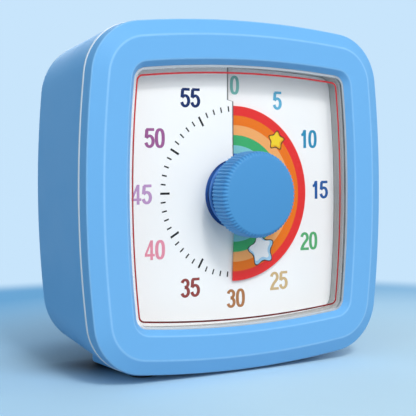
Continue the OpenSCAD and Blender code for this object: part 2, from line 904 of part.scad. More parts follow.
// Stator plate: two arms and a pole bar round the rotor
module stator() {
    bar_top = rotor_at.y + pole_r + pole_rim;
    bar_bottom = post_z - 2;
    color(steel)
    difference() {
        axis_slab(stator_depth, stator_depth + stator_t) {
            translate([-core_half, bar_bottom]) square([2 * core_half, bar_top - bar_bottom]);
            for (x = [-core_half, core_half - arm_w])
                translate([x, bar_bottom]) square([arm_w, coil_z + core_w / 2 - bar_bottom]);
        }
        axis_rod(stator_depth - cut, stator_depth + stator_t + cut, pole_r, rotor_at);
        axis_rod(stator_depth - cut, stator_depth + stator_t + cut, arbor_r + 0.5, second_at);
    }
}

module coil_core() {
    color(steel)
    axis_slab(core_depth, core_depth + stator_t)
        translate([0, coil_z]) square([2 * core_half, core_w], center = true);
}

// A round bar along X on the coil's axis
module coil_rod(half_length, r) {
    translate([-half_length, face_y + core_depth + stator_t / 2, axis_z + coil_z])
        rotate([0, 90, 0])
            cylinder(h = 2 * half_length, r = r);
}

module coil_bobbin() {
    color("ivory")
    difference() {
        union() {
            coil_rod(coil_half, bobbin_r);
            for (x = [-1, 1])
                translate([x * (coil_half - bobbin_flange_t / 2), 0, 0])
                    coil_rod(bobbin_flange_t / 2, flange_coil_r);
        }
        axis_slab(core_depth - 0.05, core_depth + stator_t + 0.05)
            translate([0, coil_z]) square([2 * core_half, core_w + 0.1], center = true);
    }
}

module coil_winding() {
    half = coil_half - bobbin_flange_t - 0.02;
    color("chocolate")
    difference() {
        coil_rod(half, winding_r);
        coil_rod(half + 1, bobbin_r + 0.02);
    }
}

module circuit_board() {
    color("darkgreen")
    difference() {
        block(board_depth, board_back, 2 * board_half_x, board_top - board_bottom, [0, board_z]);
        for (x = [-board_post_x, board_post_x])
            rod(board_depth - cut, board_back + cut, small_screw_r + run, [x, board_z]);
    }
}

// Resin drop over the chip
module driver_chip() {
    color([0.1, 0.1, 0.1])
    turned([for (a = [0 : 15 : 90]) [chip_r * sin(a), board_depth - chip_t * cos(a)]],
        [0, board_z - axis_rise]);
}

module quartz_crystal() {
    color("silver")
    translate([crystal_x, face_y + board_depth - crystal_r - touch, case_z + board_z - crystal_drop])
        rotate([0, 90, 0])
            cylinder(h = crystal_len, r = crystal_r);
}

module buzzer() {
    color([0.12, 0.12, 0.12])
    difference() {
        rod(board_back, board_back + buzzer_t, buzzer_r, [buzzer_x, board_z]);
        rod(board_back + buzzer_t - 1, board_back + buzzer_t + cut, 1, [buzzer_x, board_z]);
    }
}

module switch_body() {
    color([0.2, 0.2, 0.2])
    difference() {
        block(board_back, board_back + switch_t, switch_w, switch_h, [switch_x, board_z]);
        block(board_back + switch_t - slider_t - 2 * run, board_back + switch_t + cut,
            slider_w + 2 * switch_travel + 2 * fit, slider_h + 2 * run, [switch_x, board_z]);
    }
}

// Volume slider: a foot in the switch and a lever through the back
module switch_slider() {
    foot_back = board_back + switch_t;
    color("white") {
        block(foot_back - slider_t - run, foot_back, slider_w, slider_h, [switch_x, board_z]);
        block(foot_back - slice, case_depth - 0.2, lever_w, lever_h, [switch_x, board_z]);
    }
}

// The cell lies along X, with its positive nub to the right
module cell() {
    color([0.25, 0.25, 0.27])
    translate([cell_x - cell_len / 2, face_y + cell_depth, case_z + bay_z])
        rotate([0, 90, 0])
            rotate_extrude()
                polygon([[0, 0], [cell_r - 0.4, 0], [cell_r, 0.4], [cell_r, cell_len - 0.6],
                    [cell_r - 0.8, cell_len], [nub_r, cell_len], [nub_r, cell_len + nub_len],
                    [0, cell_len + nub_len]]);
}

// Conical coil spring that presses on the cell's flat end
module cell_spring() {
    turns = 3.5;
    ring_sides = 8;
    ring_steps = 14;
    wire_r = 0.35;
    start_x = -bay_half_x + contact_t + wire_r;
    end_x = cell_x - cell_len / 2 - wire_r - touch;
    rings = turns * ring_steps;
    points = [for (i = [0 : rings]) for (k = [0 : ring_sides - 1])
        let (
            part = i / rings,
            a = 360 * i / ring_steps,
            coil_r = 3.8 - 1.6 * part,
            side = 360 * k / ring_sides,
            r = coil_r + wire_r * cos(side),
            x = start_x + (end_x - start_x) * part + wire_r * sin(side)
        )
        [x, r * cos(a), r * sin(a)]];
    walls = [for (i = [0 : rings - 1]) for (k = [0 : ring_sides - 1])
        let (n = (k + 1) % ring_sides, a = i * ring_sides, b = a + ring_sides)
        each [[a + k, a + n, b + n], [a + k, b + n, b + k]]];
    ends = [[for (k = [ring_sides - 1 : -1 : 0]) k], [for (k = [0 : ring_sides - 1]) rings * ring_sides + k]];
    color(steel) {
        translate([0, face_y + cell_depth, case_z + bay_z]) polyhedron(points, concat(walls, ends));
        contact(-1);
    }
}

// Contact plate at one end of the bay, with a tab through the bay's front wall
module contact(side) {
    at = [side * (bay_half_x - contact_t / 2), bay_z];
    block(cell_depth - contact_w / 2, cell_depth + contact_w / 2, contact_t, contact_w, at);
    block(tab_depth, cell_depth, contact_t, tab_w, at);
}

module cell_plate() {
    color(steel) contact(1);
}

// Curve through the middle points of a route, from the second to the last but one
function smooth(route) =
    concat(
        [for (i = [1 : len(route) - 3]) for (k = [0 : lead_steps - 1])
            let (t = k / lead_steps, a = route[i - 1], b = route[i], c = route[i + 1], d = route[i + 2])
            (2 * b + t * (c - a) + t * t * (2 * a - 5 * b + 4 * c - d) + t * t * t * (3 * b - a - 3 * c + d)) / 2],
        [route[len(route) - 2]]
    );

// Round wire along a route of [x, depth, height] points, whose end rings face along Y
module wire(route, r) {
    path = smooth(concat([route[0] + [0, 1, 0]], route, [route[len(route) - 1] + [0, 1, 0]]));
    last = len(path) - 1;
    points = [for (i = [0 : last]) for (k = [0 : lead_sides - 1])
        let (
            ahead = i == 0 || i == last ? [0, i == 0 ? -1 : 1, 0] : path[i + 1] - path[i - 1],
            along = ahead / norm(ahead),
            across = cross(along, [1, 0, 0]) / norm(cross(along, [1, 0, 0])),
            up = cross(along, across),
            a = 360 * k / lead_sides
        )
        path[i] + r * (cos(a) * across + sin(a) * up)];
    walls = [for (i = [0 : last - 1]) for (k = [0 : lead_sides - 1])
        let (n = (k + 1) % lead_sides, a = i * lead_sides, b = a + lead_sides)
        each [[a + k, b + n, a + n], [a + k, b + k, b + n]]];
    ends = [[for (k = [0 : lead_sides - 1]) k], [for (k = [lead_sides - 1 : -1 : 0]) last * lead_sides + k]];
    translate([0, face_y, case_z]) polyhedron(points, concat(walls, ends));
}

// Part of the way from one point to another, with its own share in each direction
function between(from, to, share) =
    [for (i = [0 : 2]) from[i] + (to[i] - from[i]) * share[i]];

// Battery lead: from the tab, past the screw boss and the movement, up to the board
module battery_lead(side) {
    mirror([side < 0 ? 1 : 0, 0, 0])
        wire([
            lead_start,
            [lead_start.x - lead_r, lead_run_depth + lead_r, bay_z + 4 * lead_r],
            [lead_x + 2 * lead_r, lead_run_depth, lower_screw.y - boss_r - 4 * lead_r],
            lead_low,
            between(lead_low, lead_high, [0.15, 0.27, 0.4]),
            between(lead_low, lead_high, [0.3, 0.63, 0.7]),
            [lead_end.x + 3 * lead_r, board_depth - 6 * lead_r, board_bottom - lead_r],
            lead_end
        ], lead_r);
}

module red_lead() {
    color("red") battery_lead(1);
}

module black_lead() {
    color([0.1, 0.1, 0.1]) battery_lead(-1);
}

// Two fine leads from the coil through the movement's back to the board
module coil_leads() {
    color("chocolate")
    for (x = [-coil_lead_x, coil_lead_x])
        wire([
            [x, core_depth + flange_coil_r - 0.4, axis_rise + coil_lead_z - 0.4],
            [x, cover_depth, axis_rise + coil_lead_z],
            [x, cover_back + 0.6, axis_rise + coil_lead_z],
            [x, board_depth - touch, board_bottom + 1.5]
        ], coil_lead_r);
}

// Battery door: a plate that lies flush in the back, held by two tongues, and turns about its round top edge
module battery_door() {
    h = door_h - 2 * fit - door_t / 2;
    color(case_blue)
    difference() {
        union() {
            block(case_depth - door_t, case_depth, 2 * door_half_x, h, [0, bay_z - door_t / 4]);
            translate([-door_half_x, face_y + hinge_depth, case_z + hinge_z])
                rotate([0, 90, 0])
                    cylinder(h = 2 * door_half_x, r = door_t / 2);
            for (x = [-tongue_x, tongue_x]) {
                block(tongue_depth, case_depth - door_t + slice, tongue_w, 1.4,
                    [x, door_top - 1.6]);
                block(tongue_depth, tongue_depth + tongue_t, tongue_w, tongue_len + 2,
                    [x, door_top + tongue_len / 2 - 1]);
            }
            for (x = [-door_rib_x, door_rib_x])
                block(case_depth - door_t - door_rib_h, case_depth - door_t + slice, door_rib_t,
                    bay_h - 2 * door_rib_h, [x, bay_z]);
        }
        rod(case_depth - 0.6, case_depth + cut, thumb_r, [0, bay_z - door_h / 2]);
    }
}

module screw(seat, length, r, head_r, head, centre) {
    rod(seat, seat + head, head_r, centre);
    rod(seat - length, seat + slice, r, centre);
}

module case_screws() {
    color(steel)
    for (place = screw_places)
        screw(seat_depth, screw_len, screw_r, screw_head_r, head_t, place);
}

module tray_screws() {
    color(steel)
    ear_places()
        screw(ear_depth + ear_t, ear_depth + ear_t - front_wall - blind_end - run, small_screw_r,
            small_head_r, small_head_t, [0, 0]);
}

module movement_screws() {
    seat = plate_back + plate_t;
    color(steel)
    for (x = [-movement_ear_x, movement_ear_x])
        screw(seat, seat - floor_depth - 0.1, small_screw_r, small_head_r, small_head_t, [x, axis_rise]);
}

module board_screws() {
    color(steel)
    for (x = [-board_post_x, board_post_x])
        forward_screw(board_depth, board_t + board_screw_len, [x, board_z]);
}

// A screw with its head towards the front
module forward_screw(seat, length, centre) {
    rod(seat - small_head_t, seat, small_head_r, centre);
    rod(seat - slice, seat + length, small_screw_r, centre);
}

// Four rubber feet, level at the bottom
module feet() {
    color([0.15, 0.15, 0.16]) foot_columns(0, foot_seat, foot_r);
}

front_bezel();
lens();
seam_band();
rear_shell();
dial_tray();
dial_face();
time_disc();
disc_hub();
knob();
spindle();
spindle_clip();
clutch_washer();
centre_wheel();
third_wheel();
second_wheel();
rotor();
movement_plate();
movement_cover();
stator();
coil_core();
coil_bobbin();
coil_winding();
circuit_board();
driver_chip();
quartz_crystal();
buzzer();
switch_body();
switch_slider();
cell();
cell_spring();
cell_plate();
red_lead();
black_lead();
coil_leads();
battery_door();
case_screws();
tray_screws();
movement_screws();
board_screws();
feet();
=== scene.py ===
# Visual countdown timer: looks built round the fixed frame of the part.
# Shapes are worked out in millimetres as they are seen from the front: x to the right,
# z up from the case centre and depth behind the flat front. spot() turns that into scene metres.
import json
import math

import bmesh
import bpy
import numpy as np
from mathutils import Matrix, Vector


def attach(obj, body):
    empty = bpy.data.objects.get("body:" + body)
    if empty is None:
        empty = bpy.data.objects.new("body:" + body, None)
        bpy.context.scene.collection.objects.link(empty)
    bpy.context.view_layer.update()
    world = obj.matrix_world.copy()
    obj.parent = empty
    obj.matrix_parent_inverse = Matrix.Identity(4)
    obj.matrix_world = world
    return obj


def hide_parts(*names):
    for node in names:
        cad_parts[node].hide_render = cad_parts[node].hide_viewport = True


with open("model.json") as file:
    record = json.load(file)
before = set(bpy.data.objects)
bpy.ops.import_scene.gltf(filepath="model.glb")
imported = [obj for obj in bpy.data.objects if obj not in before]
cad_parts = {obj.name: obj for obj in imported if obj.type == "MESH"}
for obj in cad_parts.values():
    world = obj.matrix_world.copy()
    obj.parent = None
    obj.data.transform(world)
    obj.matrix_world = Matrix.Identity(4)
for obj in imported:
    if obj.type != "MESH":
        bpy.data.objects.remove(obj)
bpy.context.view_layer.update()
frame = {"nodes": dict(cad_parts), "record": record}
nodes = frame["nodes"]
print("stage: frame loaded,", len(nodes), "nodes")

# Shared measures, mm
case = {
    "halfWidth": 40.0, "sideBow": 246.0, "cornerRadius": 12.5, "depth": 36.3, "wall": 2.0,
    "frontDepth": -15.65, "centreHeight": 40.7, "axisRise": 0.5,
    "bevelWidth": 3.45, "bevelDepth": 1.52, "seamStart": 5.1, "seamEnd": 5.7,
    "backInset": 2.65, "backCorner": 13.1, "backBevel": 1.5,
    "windowHalf": 29.8, "windowBow": 251.0, "windowCorner": 2.9, "lipWidth": 1.3, "lipDepth": 1.5,
}
dial = {
    "depth": 7.2, "pitch": 1.6, "thickness": 0.4, "holeRadius": 8.1, "slitX": 0.6, "slitStep": 1.4,
    "stepRadius": 21.4, "stepWidth": 0.4, "outerRings": (24.0, 26.5), "innerRings": 9, "turnSteps": 288,
    "edgeGap": 0.12, "slitShade": (0.2, 0.42), "discRadius": 20.4,
}
outlineSteps = {"side": 20, "corner": 14, "roundOver": 5}
facets = {"bore": 24, "post": 32, "boss": 40, "large": 48}  # sides of small, middle and large round tools
toolPast = 0.6  # how far a flared tool stands past the surface that it cuts
cleanUp = {"mergeDistance": 2e-6, "flatAngle": 1.5}  # metres and degrees, for copies of frame meshes


# A display colour from 0 to 255, turned into the linear colour that a shader takes
def tone(red, green, blue):
    c = np.array([red, green, blue], float) / 255
    linear = np.where(c > 0.04045, ((c + 0.055) / 1.055) ** 2.4, c / 12.92)
    return (float(linear[0]), float(linear[1]), float(linear[2]), 1.0)


# Front-view points to scene metres: y is the front's place plus depth, z is added to the case centre
def spot(x, depth, z):
    x, depth, z = np.broadcast_arrays(np.asarray(x, float), np.asarray(depth, float), np.asarray(z, float))
    return np.stack([x, case["frontDepth"] + depth, case["centreHeight"] + z], -1) * 0.001


# Shape helpers

# Square with bowed sides: a side arc and a corner arc that meet in line, turned four times by 90 degrees
def bowedOutline(half, bow, corner):
    reach, seat = bow - half, bow - corner
    centre = (math.sqrt(2 * seat * seat - reach * reach) - reach) / 2
    turn = math.atan2(centre, centre + reach)
    a = np.linspace(-turn, turn, outlineSteps["side"] + 1)
    b = np.linspace(turn, math.pi / 2 - turn, outlineSteps["corner"] + 1)[1:-1]
    x = np.concatenate([bow * np.cos(a) - reach, centre + corner * np.cos(b)])
    z = np.concatenate([bow * np.sin(a), centre + corner * np.sin(b)])
    turned = [(x, z), (-z, x), (-x, -z), (z, -x)]
    return np.concatenate([np.stack(p, 1) for p in turned])


# The case outline moved inwards by inset, and the window outline moved outwards by grow
def caseOutline(inset):
    return bowedOutline(case["halfWidth"] - inset, case["sideBow"] - inset, case["cornerRadius"] - inset)


def windowOutline(grow):
    return bowedOutline(case["windowHalf"] + grow, case["windowBow"] + grow, case["windowCorner"] + grow)


# The rear half's outline: it is drawn in evenly from the seam to the back
def drawnOutline(inset, depth):
    share = max(0.0, depth - case["seamEnd"]) / (case["depth"] - case["seamEnd"])
    half = case["halfWidth"] - case["backInset"] * share
    corner = case["cornerRadius"] + (case["backCorner"] - case["cornerRadius"]) * share
    return bowedOutline(half - inset, case["sideBow"] - inset, corner - inset)


# Rectangle w by h with round corners: four quarter circles of radius r about their centres
def roundedBox(w, h, r, steps=6):
    a = np.linspace(0, math.pi / 2, steps + 1)
    x, z = w / 2 - r + r * np.cos(a), h / 2 - r + r * np.sin(a)
    turned = [(x, z), (-x[::-1], z[::-1]), (-x, -z), (x[::-1], -z[::-1])]
    return np.concatenate([np.stack(p, 1) for p in turned])


# Circle of radius r in equal steps
def circle(r, steps):
    a = np.arange(steps) * (2 * math.pi / steps)
    return np.stack([r * np.cos(a), r * np.sin(a)], 1)


# Profile with rounded corners: each corner becomes the curve (1-t)^2 A + 2t(1-t) P + t^2 B between its
# two tangent points, with a holding point just outside them. The third column marks the rounded part with 1.
def roundProfile(corners, steps=5, hold=0.12, mostShare=0.49):
    rows = []
    for k, (u, v, r) in enumerate(corners):
        p = np.array([u, v], float)
        if r == 0 or k in (0, len(corners) - 1):
            rows.append([[u, v, 0.0]])
            continue
        before, after = np.array(corners[k - 1][:2]) - p, np.array(corners[k + 1][:2]) - p
        reachA, reachB = np.linalg.norm(before), np.linalg.norm(after)
        a, b = before / reachA, after / reachB
        t = np.linspace(0, 1, steps + 1)[:, None]
        bend = (1 - t) ** 2 * (p + a * r) + 2 * t * (1 - t) * p + t ** 2 * (p + b * r)
        mark = np.sin(np.linspace(0, math.pi, steps + 1))[:, None]
        rows.append(np.hstack([p + a * min(r + hold, mostShare * reachA), [0.0]])[None])
        rows.append(np.hstack([bend, mark]))
        rows.append(np.hstack([p + b * min(r + hold, mostShare * reachB), [0.0]])[None])
    return np.concatenate([np.asarray(row, float) for row in rows])


# Rings of points to a closed surface: quads between ring i and i + 1, and a flat cap on each open end
def ringSurface(rings, loop=True):
    count, around = rings.shape[:2]
    i = np.arange(count if loop else count - 1)[:, None]
    j = np.arange(around)[None, :]
    i2, j2 = (i + 1) % count, (j + 1) % around
    quads = np.stack([i * around + j, i * around + j2, i2 * around + j2, i2 * around + j], -1).reshape(-1, 4)
    points = rings.reshape(-1, 3)
    caps = [] if loop else [np.arange(around)[::-1], (count - 1) * around + np.arange(around)]
    # the sign of the enclosed volume tells whether the faces point outwards
    a, b, c, d = (points[quads[:, k]] for k in range(4))
    volume = np.einsum("ij,ij->", a, np.cross(b, c)) + np.einsum("ij,ij->", a, np.cross(c, d))
    for cap in caps:
        first, second, third = points[cap[0]], points[cap[1:-1]], points[cap[2:]]
        volume += np.sum(np.cross(second, third) @ first)
    if volume < 0:
        quads, caps = quads[:, ::-1], [cap[::-1] for cap in caps]
    return points, quads.tolist() + [cap.tolist() for cap in caps]


# A mesh object from one or more surfaces; marks are values per point, kept as attributes
def makePiece(name, surfaces, smoothAngle=38, **marks):
    points = np.concatenate([s[0] for s in surfaces])
    starts = np.cumsum([0] + [len(s[0]) for s in surfaces])
    faces = [[v + start for v in face] for s, start in zip(surfaces, starts.tolist()) for face in s[1]]
    mesh = bpy.data.meshes.new(name)
    mesh.from_pydata(points.tolist(), [], faces)
    for mark, values in marks.items():
        values = np.asarray(values, np.float32)
        kind, field = ("FLOAT_COLOR", "color") if values.ndim == 2 else ("FLOAT", "value")
        mesh.attributes.new(mark, kind, "POINT").data.foreach_set(field, values.ravel())
    mesh.update()
    smoothFaces(mesh, smoothAngle)
    piece = bpy.data.objects.new(name, mesh)
    bpy.context.scene.collection.objects.link(piece)
    return piece


# Smooth shading, with edges steeper than the angle kept sharp
def smoothFaces(mesh, angle):
    mesh.polygons.foreach_set("use_smooth", np.ones(len(mesh.polygons), bool))
    mesh.set_sharp_from_angle(angle=math.radians(angle))


# Rings of a shell from profile rows (family, a, depth): a moves that family's outline in or out
def shellRings(rows):
    shape = {"case": caseOutline, "window": windowOutline}
    rings = []
    for family, a, depth in rows:
        line = drawnOutline(a, depth) if family == "rear" else shape[family](a)
        rings.append(spot(line[:, 0], depth, line[:, 1]))
    return np.stack(rings)


# A profile of [radius, depth] turned about the main axis, or about another point of the front view
def turnedRings(profile, steps, centre=(0.0, case["axisRise"])):
    a = np.arange(steps) * (2 * math.pi / steps)
    radius, depth = np.hsplit(np.asarray(profile, float), 2)
    return spot(centre[0] + radius * np.sin(a), depth, centre[1] + radius * np.cos(a))


# Outlines for tools, as functions of how far they grow all round
def growingCircle(radius, sides):
    return lambda grow: circle(radius + grow, sides)


def growingBox(w, h, corner, steps=6):
    return lambda grow: roundedBox(w + 2 * grow, h + 2 * grow, corner + grow, steps)


# A tool for cutting or adding: an outline carried from front to back, whose mouth opens by a quarter round
# of radius flare
def prism(name, outline, centre, front, back, flare=0.0):
    rows = [(0.0, front), (0.0, back)]
    if flare:
        t = np.linspace(0, math.pi / 2, outlineSteps["roundOver"])
        rows = [(0.0, front)] + list(zip(flare * (1 - np.cos(t)), back - flare + flare * np.sin(t)))
        rows.append((flare, back + toolPast))
    rings = []
    for grow, depth in rows:
        line = outline(grow)
        rings.append(spot(centre[0] + line[:, 0], depth, centre[1] + line[:, 1]))
    return makePiece(name, [ringSurface(np.stack(rings), loop=False)])


# Adds or cuts each tool in turn, then keeps the result as the piece's own mesh
def carve(piece, steps, smoothAngle=32):
    for operation, tool in steps:
        cut = piece.modifiers.new("carve", "BOOLEAN")
        cut.operation, cut.object, cut.solver = operation, tool, "MANIFOLD"
    graph = bpy.context.evaluated_depsgraph_get()
    mesh = bpy.data.meshes.new_from_object(piece.evaluated_get(graph))
    piece.modifiers.clear()
    old, piece.data = piece.data, mesh
    bpy.data.meshes.remove(old)
    for _, tool in steps:
        bpy.data.meshes.remove(tool.data)
    smoothFaces(mesh, smoothAngle)
    return piece


# A copy of a frame node with merged doubles, joined flat faces and softly bevelled edges
def softened(node, name, width, segments=2, angle=40):
    mesh = nodes[node].data.copy()
    mesh.name = name
    work = bmesh.new()
    work.from_mesh(mesh)
    bmesh.ops.remove_doubles(work, verts=work.verts, dist=cleanUp["mergeDistance"])
    bmesh.ops.dissolve_limit(work, angle_limit=math.radians(cleanUp["flatAngle"]), verts=work.verts,
                             edges=work.edges)
    work.to_mesh(mesh)
    work.free()
    for layer in ("custom_normal", "sharp_face", "sharp_edge"):
        if layer in mesh.attributes:
            mesh.attributes.remove(mesh.attributes[layer])
    mesh.materials.clear()
    piece = bpy.data.objects.new(name, mesh)
    bpy.context.scene.collection.objects.link(piece)
    smoothFaces(mesh, angle)
    if width:
        bevel = piece.modifiers.new("soft edges", "BEVEL")
        bevel.width, bevel.segments = width * 0.001, segments
        bevel.limit_method, bevel.angle_limit = "ANGLE", math.radians(angle)
        bevel.harden_normals = True
    return piece


# Gives a finished piece its body and its material, and hides the frame nodes that it stands for
def fit(piece, body, slot, material, *stands):
    piece.data.materials.clear()
    piece.data.materials.append(material)
    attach(piece, body)
    if stands:
        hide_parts(*stands)
    return piece


# Finishes: shared effects as node groups. A texture has a detail and a roughness of its own
grainTexture = {"fine": (3.0, 0.6), "wide": 1.0, "widen": 6.0, "share": 0.75}
handlingTexture = {"wide": (3.0, 0.55), "fineSize": 0.7, "from": 0.45, "gain": 3.0, "least": 0.6,
                   "swing": 0.8}
wearAndSheenTexture = {"size": 3.5, "grit": (3.0, 0.6), "least": 0.55, "swing": 0.9}
brushTexture = (4.0, 0.65)

# A new group with its named inputs and outputs; returns the group and its two end nodes
def newGroup(name, inputs, outputs):
    group = bpy.data.node_groups.new(name, "ShaderNodeTree")
    for label, kind, value in inputs:
        socket = group.interface.new_socket(label, in_out="INPUT", socket_type="NodeSocket" + kind)
        if value is not None:
            socket.default_value = value
    for label, kind in outputs:
        group.interface.new_socket(label, in_out="OUTPUT", socket_type="NodeSocket" + kind)
    return group, group.nodes.new("NodeGroupInput"), group.nodes.new("NodeGroupOutput")


# One math node in a tree, fed by sockets or plain numbers
def calc(tree, operation, *values, clamp=False):
    node = tree.nodes.new("ShaderNodeMath")
    node.operation, node.use_clamp = operation, clamp
    for socket, value in zip(node.inputs, values):
        if isinstance(value, (int, float)):
            socket.default_value = value
        else:
            tree.links.new(value, socket)
    return node.outputs[0]


# A noise texture of a set feature size in mm
def noiseAt(tree, vector, size, detail=2.0, rough=0.5):
    node = tree.nodes.new("ShaderNodeTexNoise")
    node.inputs["Detail"].default_value, node.inputs["Roughness"].default_value = detail, rough
    tree.links.new(vector, node.inputs["Vector"])
    if isinstance(size, (int, float)):
        node.inputs["Scale"].default_value = 1000.0 / size
    else:
        tree.links.new(calc(tree, "DIVIDE", 1000.0, size), node.inputs["Scale"])
    return node.outputs["Fac"]


# The first colour turned to the second by a share from 0 to 1
def colourMix(tree, share, first, second):
    node = tree.nodes.new("ShaderNodeMix")
    node.data_type = "RGBA"
    for socket, value in zip((node.inputs[0], node.inputs[6], node.inputs[7]), (share, first, second)):
        if isinstance(value, (int, float, tuple)):
            socket.default_value = value
        else:
            tree.links.new(value, socket)
    return node.outputs[2]


# Fine moulded grain: two noises of the grain's size, as a height from 0 to 1
def buildGrain():
    group, start, end = newGroup("mouldGrain", [("Vector", "Vector", None), ("Size", "Float", 0.4)],
                                 [("Height", "Float")])
    vector, size, look = start.outputs["Vector"], start.outputs["Size"], grainTexture
    fine = noiseAt(group, vector, size, *look["fine"])
    wide = noiseAt(group, vector, calc(group, "MULTIPLY", size, look["widen"]), look["wide"])
    total = calc(group, "ADD", calc(group, "MULTIPLY", fine, look["share"]),
                 calc(group, "MULTIPLY", wide, 1 - look["share"]))
    group.links.new(total, end.inputs["Height"])
    return group


# Slow drift of tone: the colour times 1 plus amount times a wide noise about its middle
def buildDrift():
    group, start, end = newGroup("toneDrift", [("Vector", "Vector", None), ("Color", "Color", None),
                                               ("Amount", "Float", 0.03), ("Size", "Float", 25.0)],
                                 [("Color", "Color")])
    wide = noiseAt(group, start.outputs["Vector"], start.outputs["Size"])
    swing = calc(group, "MULTIPLY", calc(group, "SUBTRACT", wide, 0.5), start.outputs["Amount"])
    shade = group.nodes.new("ShaderNodeHueSaturation")
    group.links.new(calc(group, "ADD", 1.0, calc(group, "MULTIPLY", swing, 2.0)), shade.inputs["Value"])
    group.links.new(start.outputs["Color"], shade.inputs["Color"])
    group.links.new(shade.outputs["Color"], end.inputs["Color"])
    return group


# Handling: soft smudges and faint dust that lift the roughness above its base
def buildHandling():
    group, start, end = newGroup("handling", [("Vector", "Vector", None), ("Base", "Float", 0.35),
                                              ("Amount", "Float", 0.1), ("Size", "Float", 9.0)],
                                 [("Roughness", "Float")])
    vector, look = start.outputs["Vector"], handlingTexture
    wide = noiseAt(group, vector, start.outputs["Size"], *look["wide"])
    fine = calc(group, "MULTIPLY", noiseAt(group, vector, look["fineSize"]), look["swing"])
    patch = calc(group, "MULTIPLY", calc(group, "SUBTRACT", wide, look["from"]), look["gain"], clamp=True)
    mask = calc(group, "MULTIPLY", patch, calc(group, "ADD", look["least"], fine))
    lift = calc(group, "MULTIPLY", mask, start.outputs["Amount"])
    group.links.new(calc(group, "ADD", start.outputs["Base"], lift), end.inputs["Roughness"])
    return group


# Edge wear and painted sheen: the mark on rounded edges, broken up by a noise, lightens the colour there,
# partly as wear and partly as a painted highlight
def buildEdgeWear():
    group, start, end = newGroup("edgeWearAndSheen", [("Vector", "Vector", None), ("Edge", "Float", 0.0),
                                              ("Color", "Color", None), ("Worn", "Color", None),
                                              ("Amount", "Float", 0.5)],
                                 [("Color", "Color")])
    look = wearAndSheenTexture
    grit = noiseAt(group, start.outputs["Vector"], look["size"], *look["grit"])
    soft = calc(group, "ADD", look["least"], calc(group, "MULTIPLY", grit, look["swing"]))
    mask = calc(group, "MULTIPLY", calc(group, "MULTIPLY", start.outputs["Edge"], soft),
                start.outputs["Amount"], clamp=True)
    group.links.new(colourMix(group, mask, start.outputs["Color"], start.outputs["Worn"]),
                    end.inputs["Color"])
    return group


# Brushed lines: a noise stretched along one direction, for height and roughness
def buildBrush():
    group, start, end = newGroup("brushLines", [("Vector", "Vector", None), ("Stretch", "Vector", None)],
                                 [("Lines", "Float")])
    scaled = group.nodes.new("ShaderNodeVectorMath")
    scaled.operation = "MULTIPLY"
    group.links.new(start.outputs["Vector"], scaled.inputs[0])
    group.links.new(start.outputs["Stretch"], scaled.inputs[1])
    group.links.new(noiseAt(group, scaled.outputs[0], 1.0, *brushTexture), end.inputs["Lines"])
    return group


grain, drift, handling, edgeWearAndSheen, brushLines = (
    buildGrain(), buildDrift(), buildHandling(), buildEdgeWear(), buildBrush())


# Starts a material: its tree, its Principled shader and Object coordinates centred on a point in mm
def startMaterial(name, centre=(0.0, 0.0, 0.0)):
    material = bpy.data.materials.new(name)
    material.use_nodes = True
    tree = material.node_tree
    shader = tree.nodes["Principled BSDF"]
    coordinates = tree.nodes.new("ShaderNodeTexCoord")
    mapping = tree.nodes.new("ShaderNodeMapping")
    mapping.inputs["Location"].default_value = [-0.001 * v for v in centre]
    tree.links.new(coordinates.outputs["Object"], mapping.inputs["Vector"])
    return material, tree, shader, mapping.outputs["Vector"]


# Places a group in a tree, links the sockets given and sets the plain numbers
def place(tree, group, **values):
    node = tree.nodes.new("ShaderNodeGroup")
    node.node_tree = group
    for label, value in values.items():
        if isinstance(value, (int, float, tuple)):
            node.inputs[label].default_value = value
        else:
            tree.links.new(value, node.inputs[label])
    return node.outputs


# Fine relief: a height from 0 to 1 over a distance in mm
def bump(tree, shader, height, distance):
    node = tree.nodes.new("ShaderNodeBump")
    node.inputs["Strength"].default_value, node.inputs["Distance"].default_value = 1.0, distance * 0.001
    tree.links.new(height, node.inputs["Height"])
    tree.links.new(node.outputs["Normal"], shader.inputs["Normal"])


# A mark that makePiece keeps with the points of a mesh
def markOf(tree, name):
    node = tree.nodes.new("ShaderNodeAttribute")
    node.attribute_name = name
    return node


# Moulded plastic: drifting tone, edges lightened by wear and a painted highlight, smudges in the roughness
# and a fine grain
def mouldedPlastic(name, look):
    material, tree, shader, vector = startMaterial(name)
    colour = place(tree, drift, Vector=vector, Color=look["colour"], Amount=look.get("drift", 0.02),
                   Size=look.get("driftSize", 30.0))["Color"]
    if "edgeColour" in look:
        colour = place(tree, edgeWearAndSheen, Vector=vector, Edge=markOf(tree, "edge").outputs["Fac"], Color=colour,
                       Worn=look["edgeColour"], Amount=look.get("edgeAmount", 0.5))["Color"]
    tree.links.new(colour, shader.inputs["Base Color"])
    rough = place(tree, handling, Vector=vector, Base=look["roughness"], Amount=look.get("smudge", 0.08),
                  Size=look.get("smudgeSize", 9.0))["Roughness"]
    tree.links.new(rough, shader.inputs["Roughness"])
    height = place(tree, grain, Vector=vector, Size=look.get("grainSize", 0.45))["Height"]
    bump(tree, shader, height, look.get("grainDepth", 0.012))
    shader.inputs["IOR"].default_value = look.get("ior", 1.48)
    shader.inputs["Specular IOR Level"].default_value = look.get("specular", 0.5)
    shader.inputs["Coat Weight"].default_value = look.get("coat", 0.0)
    shader.inputs["Coat Roughness"].default_value = look.get("coatRoughness", 0.15)
    return material


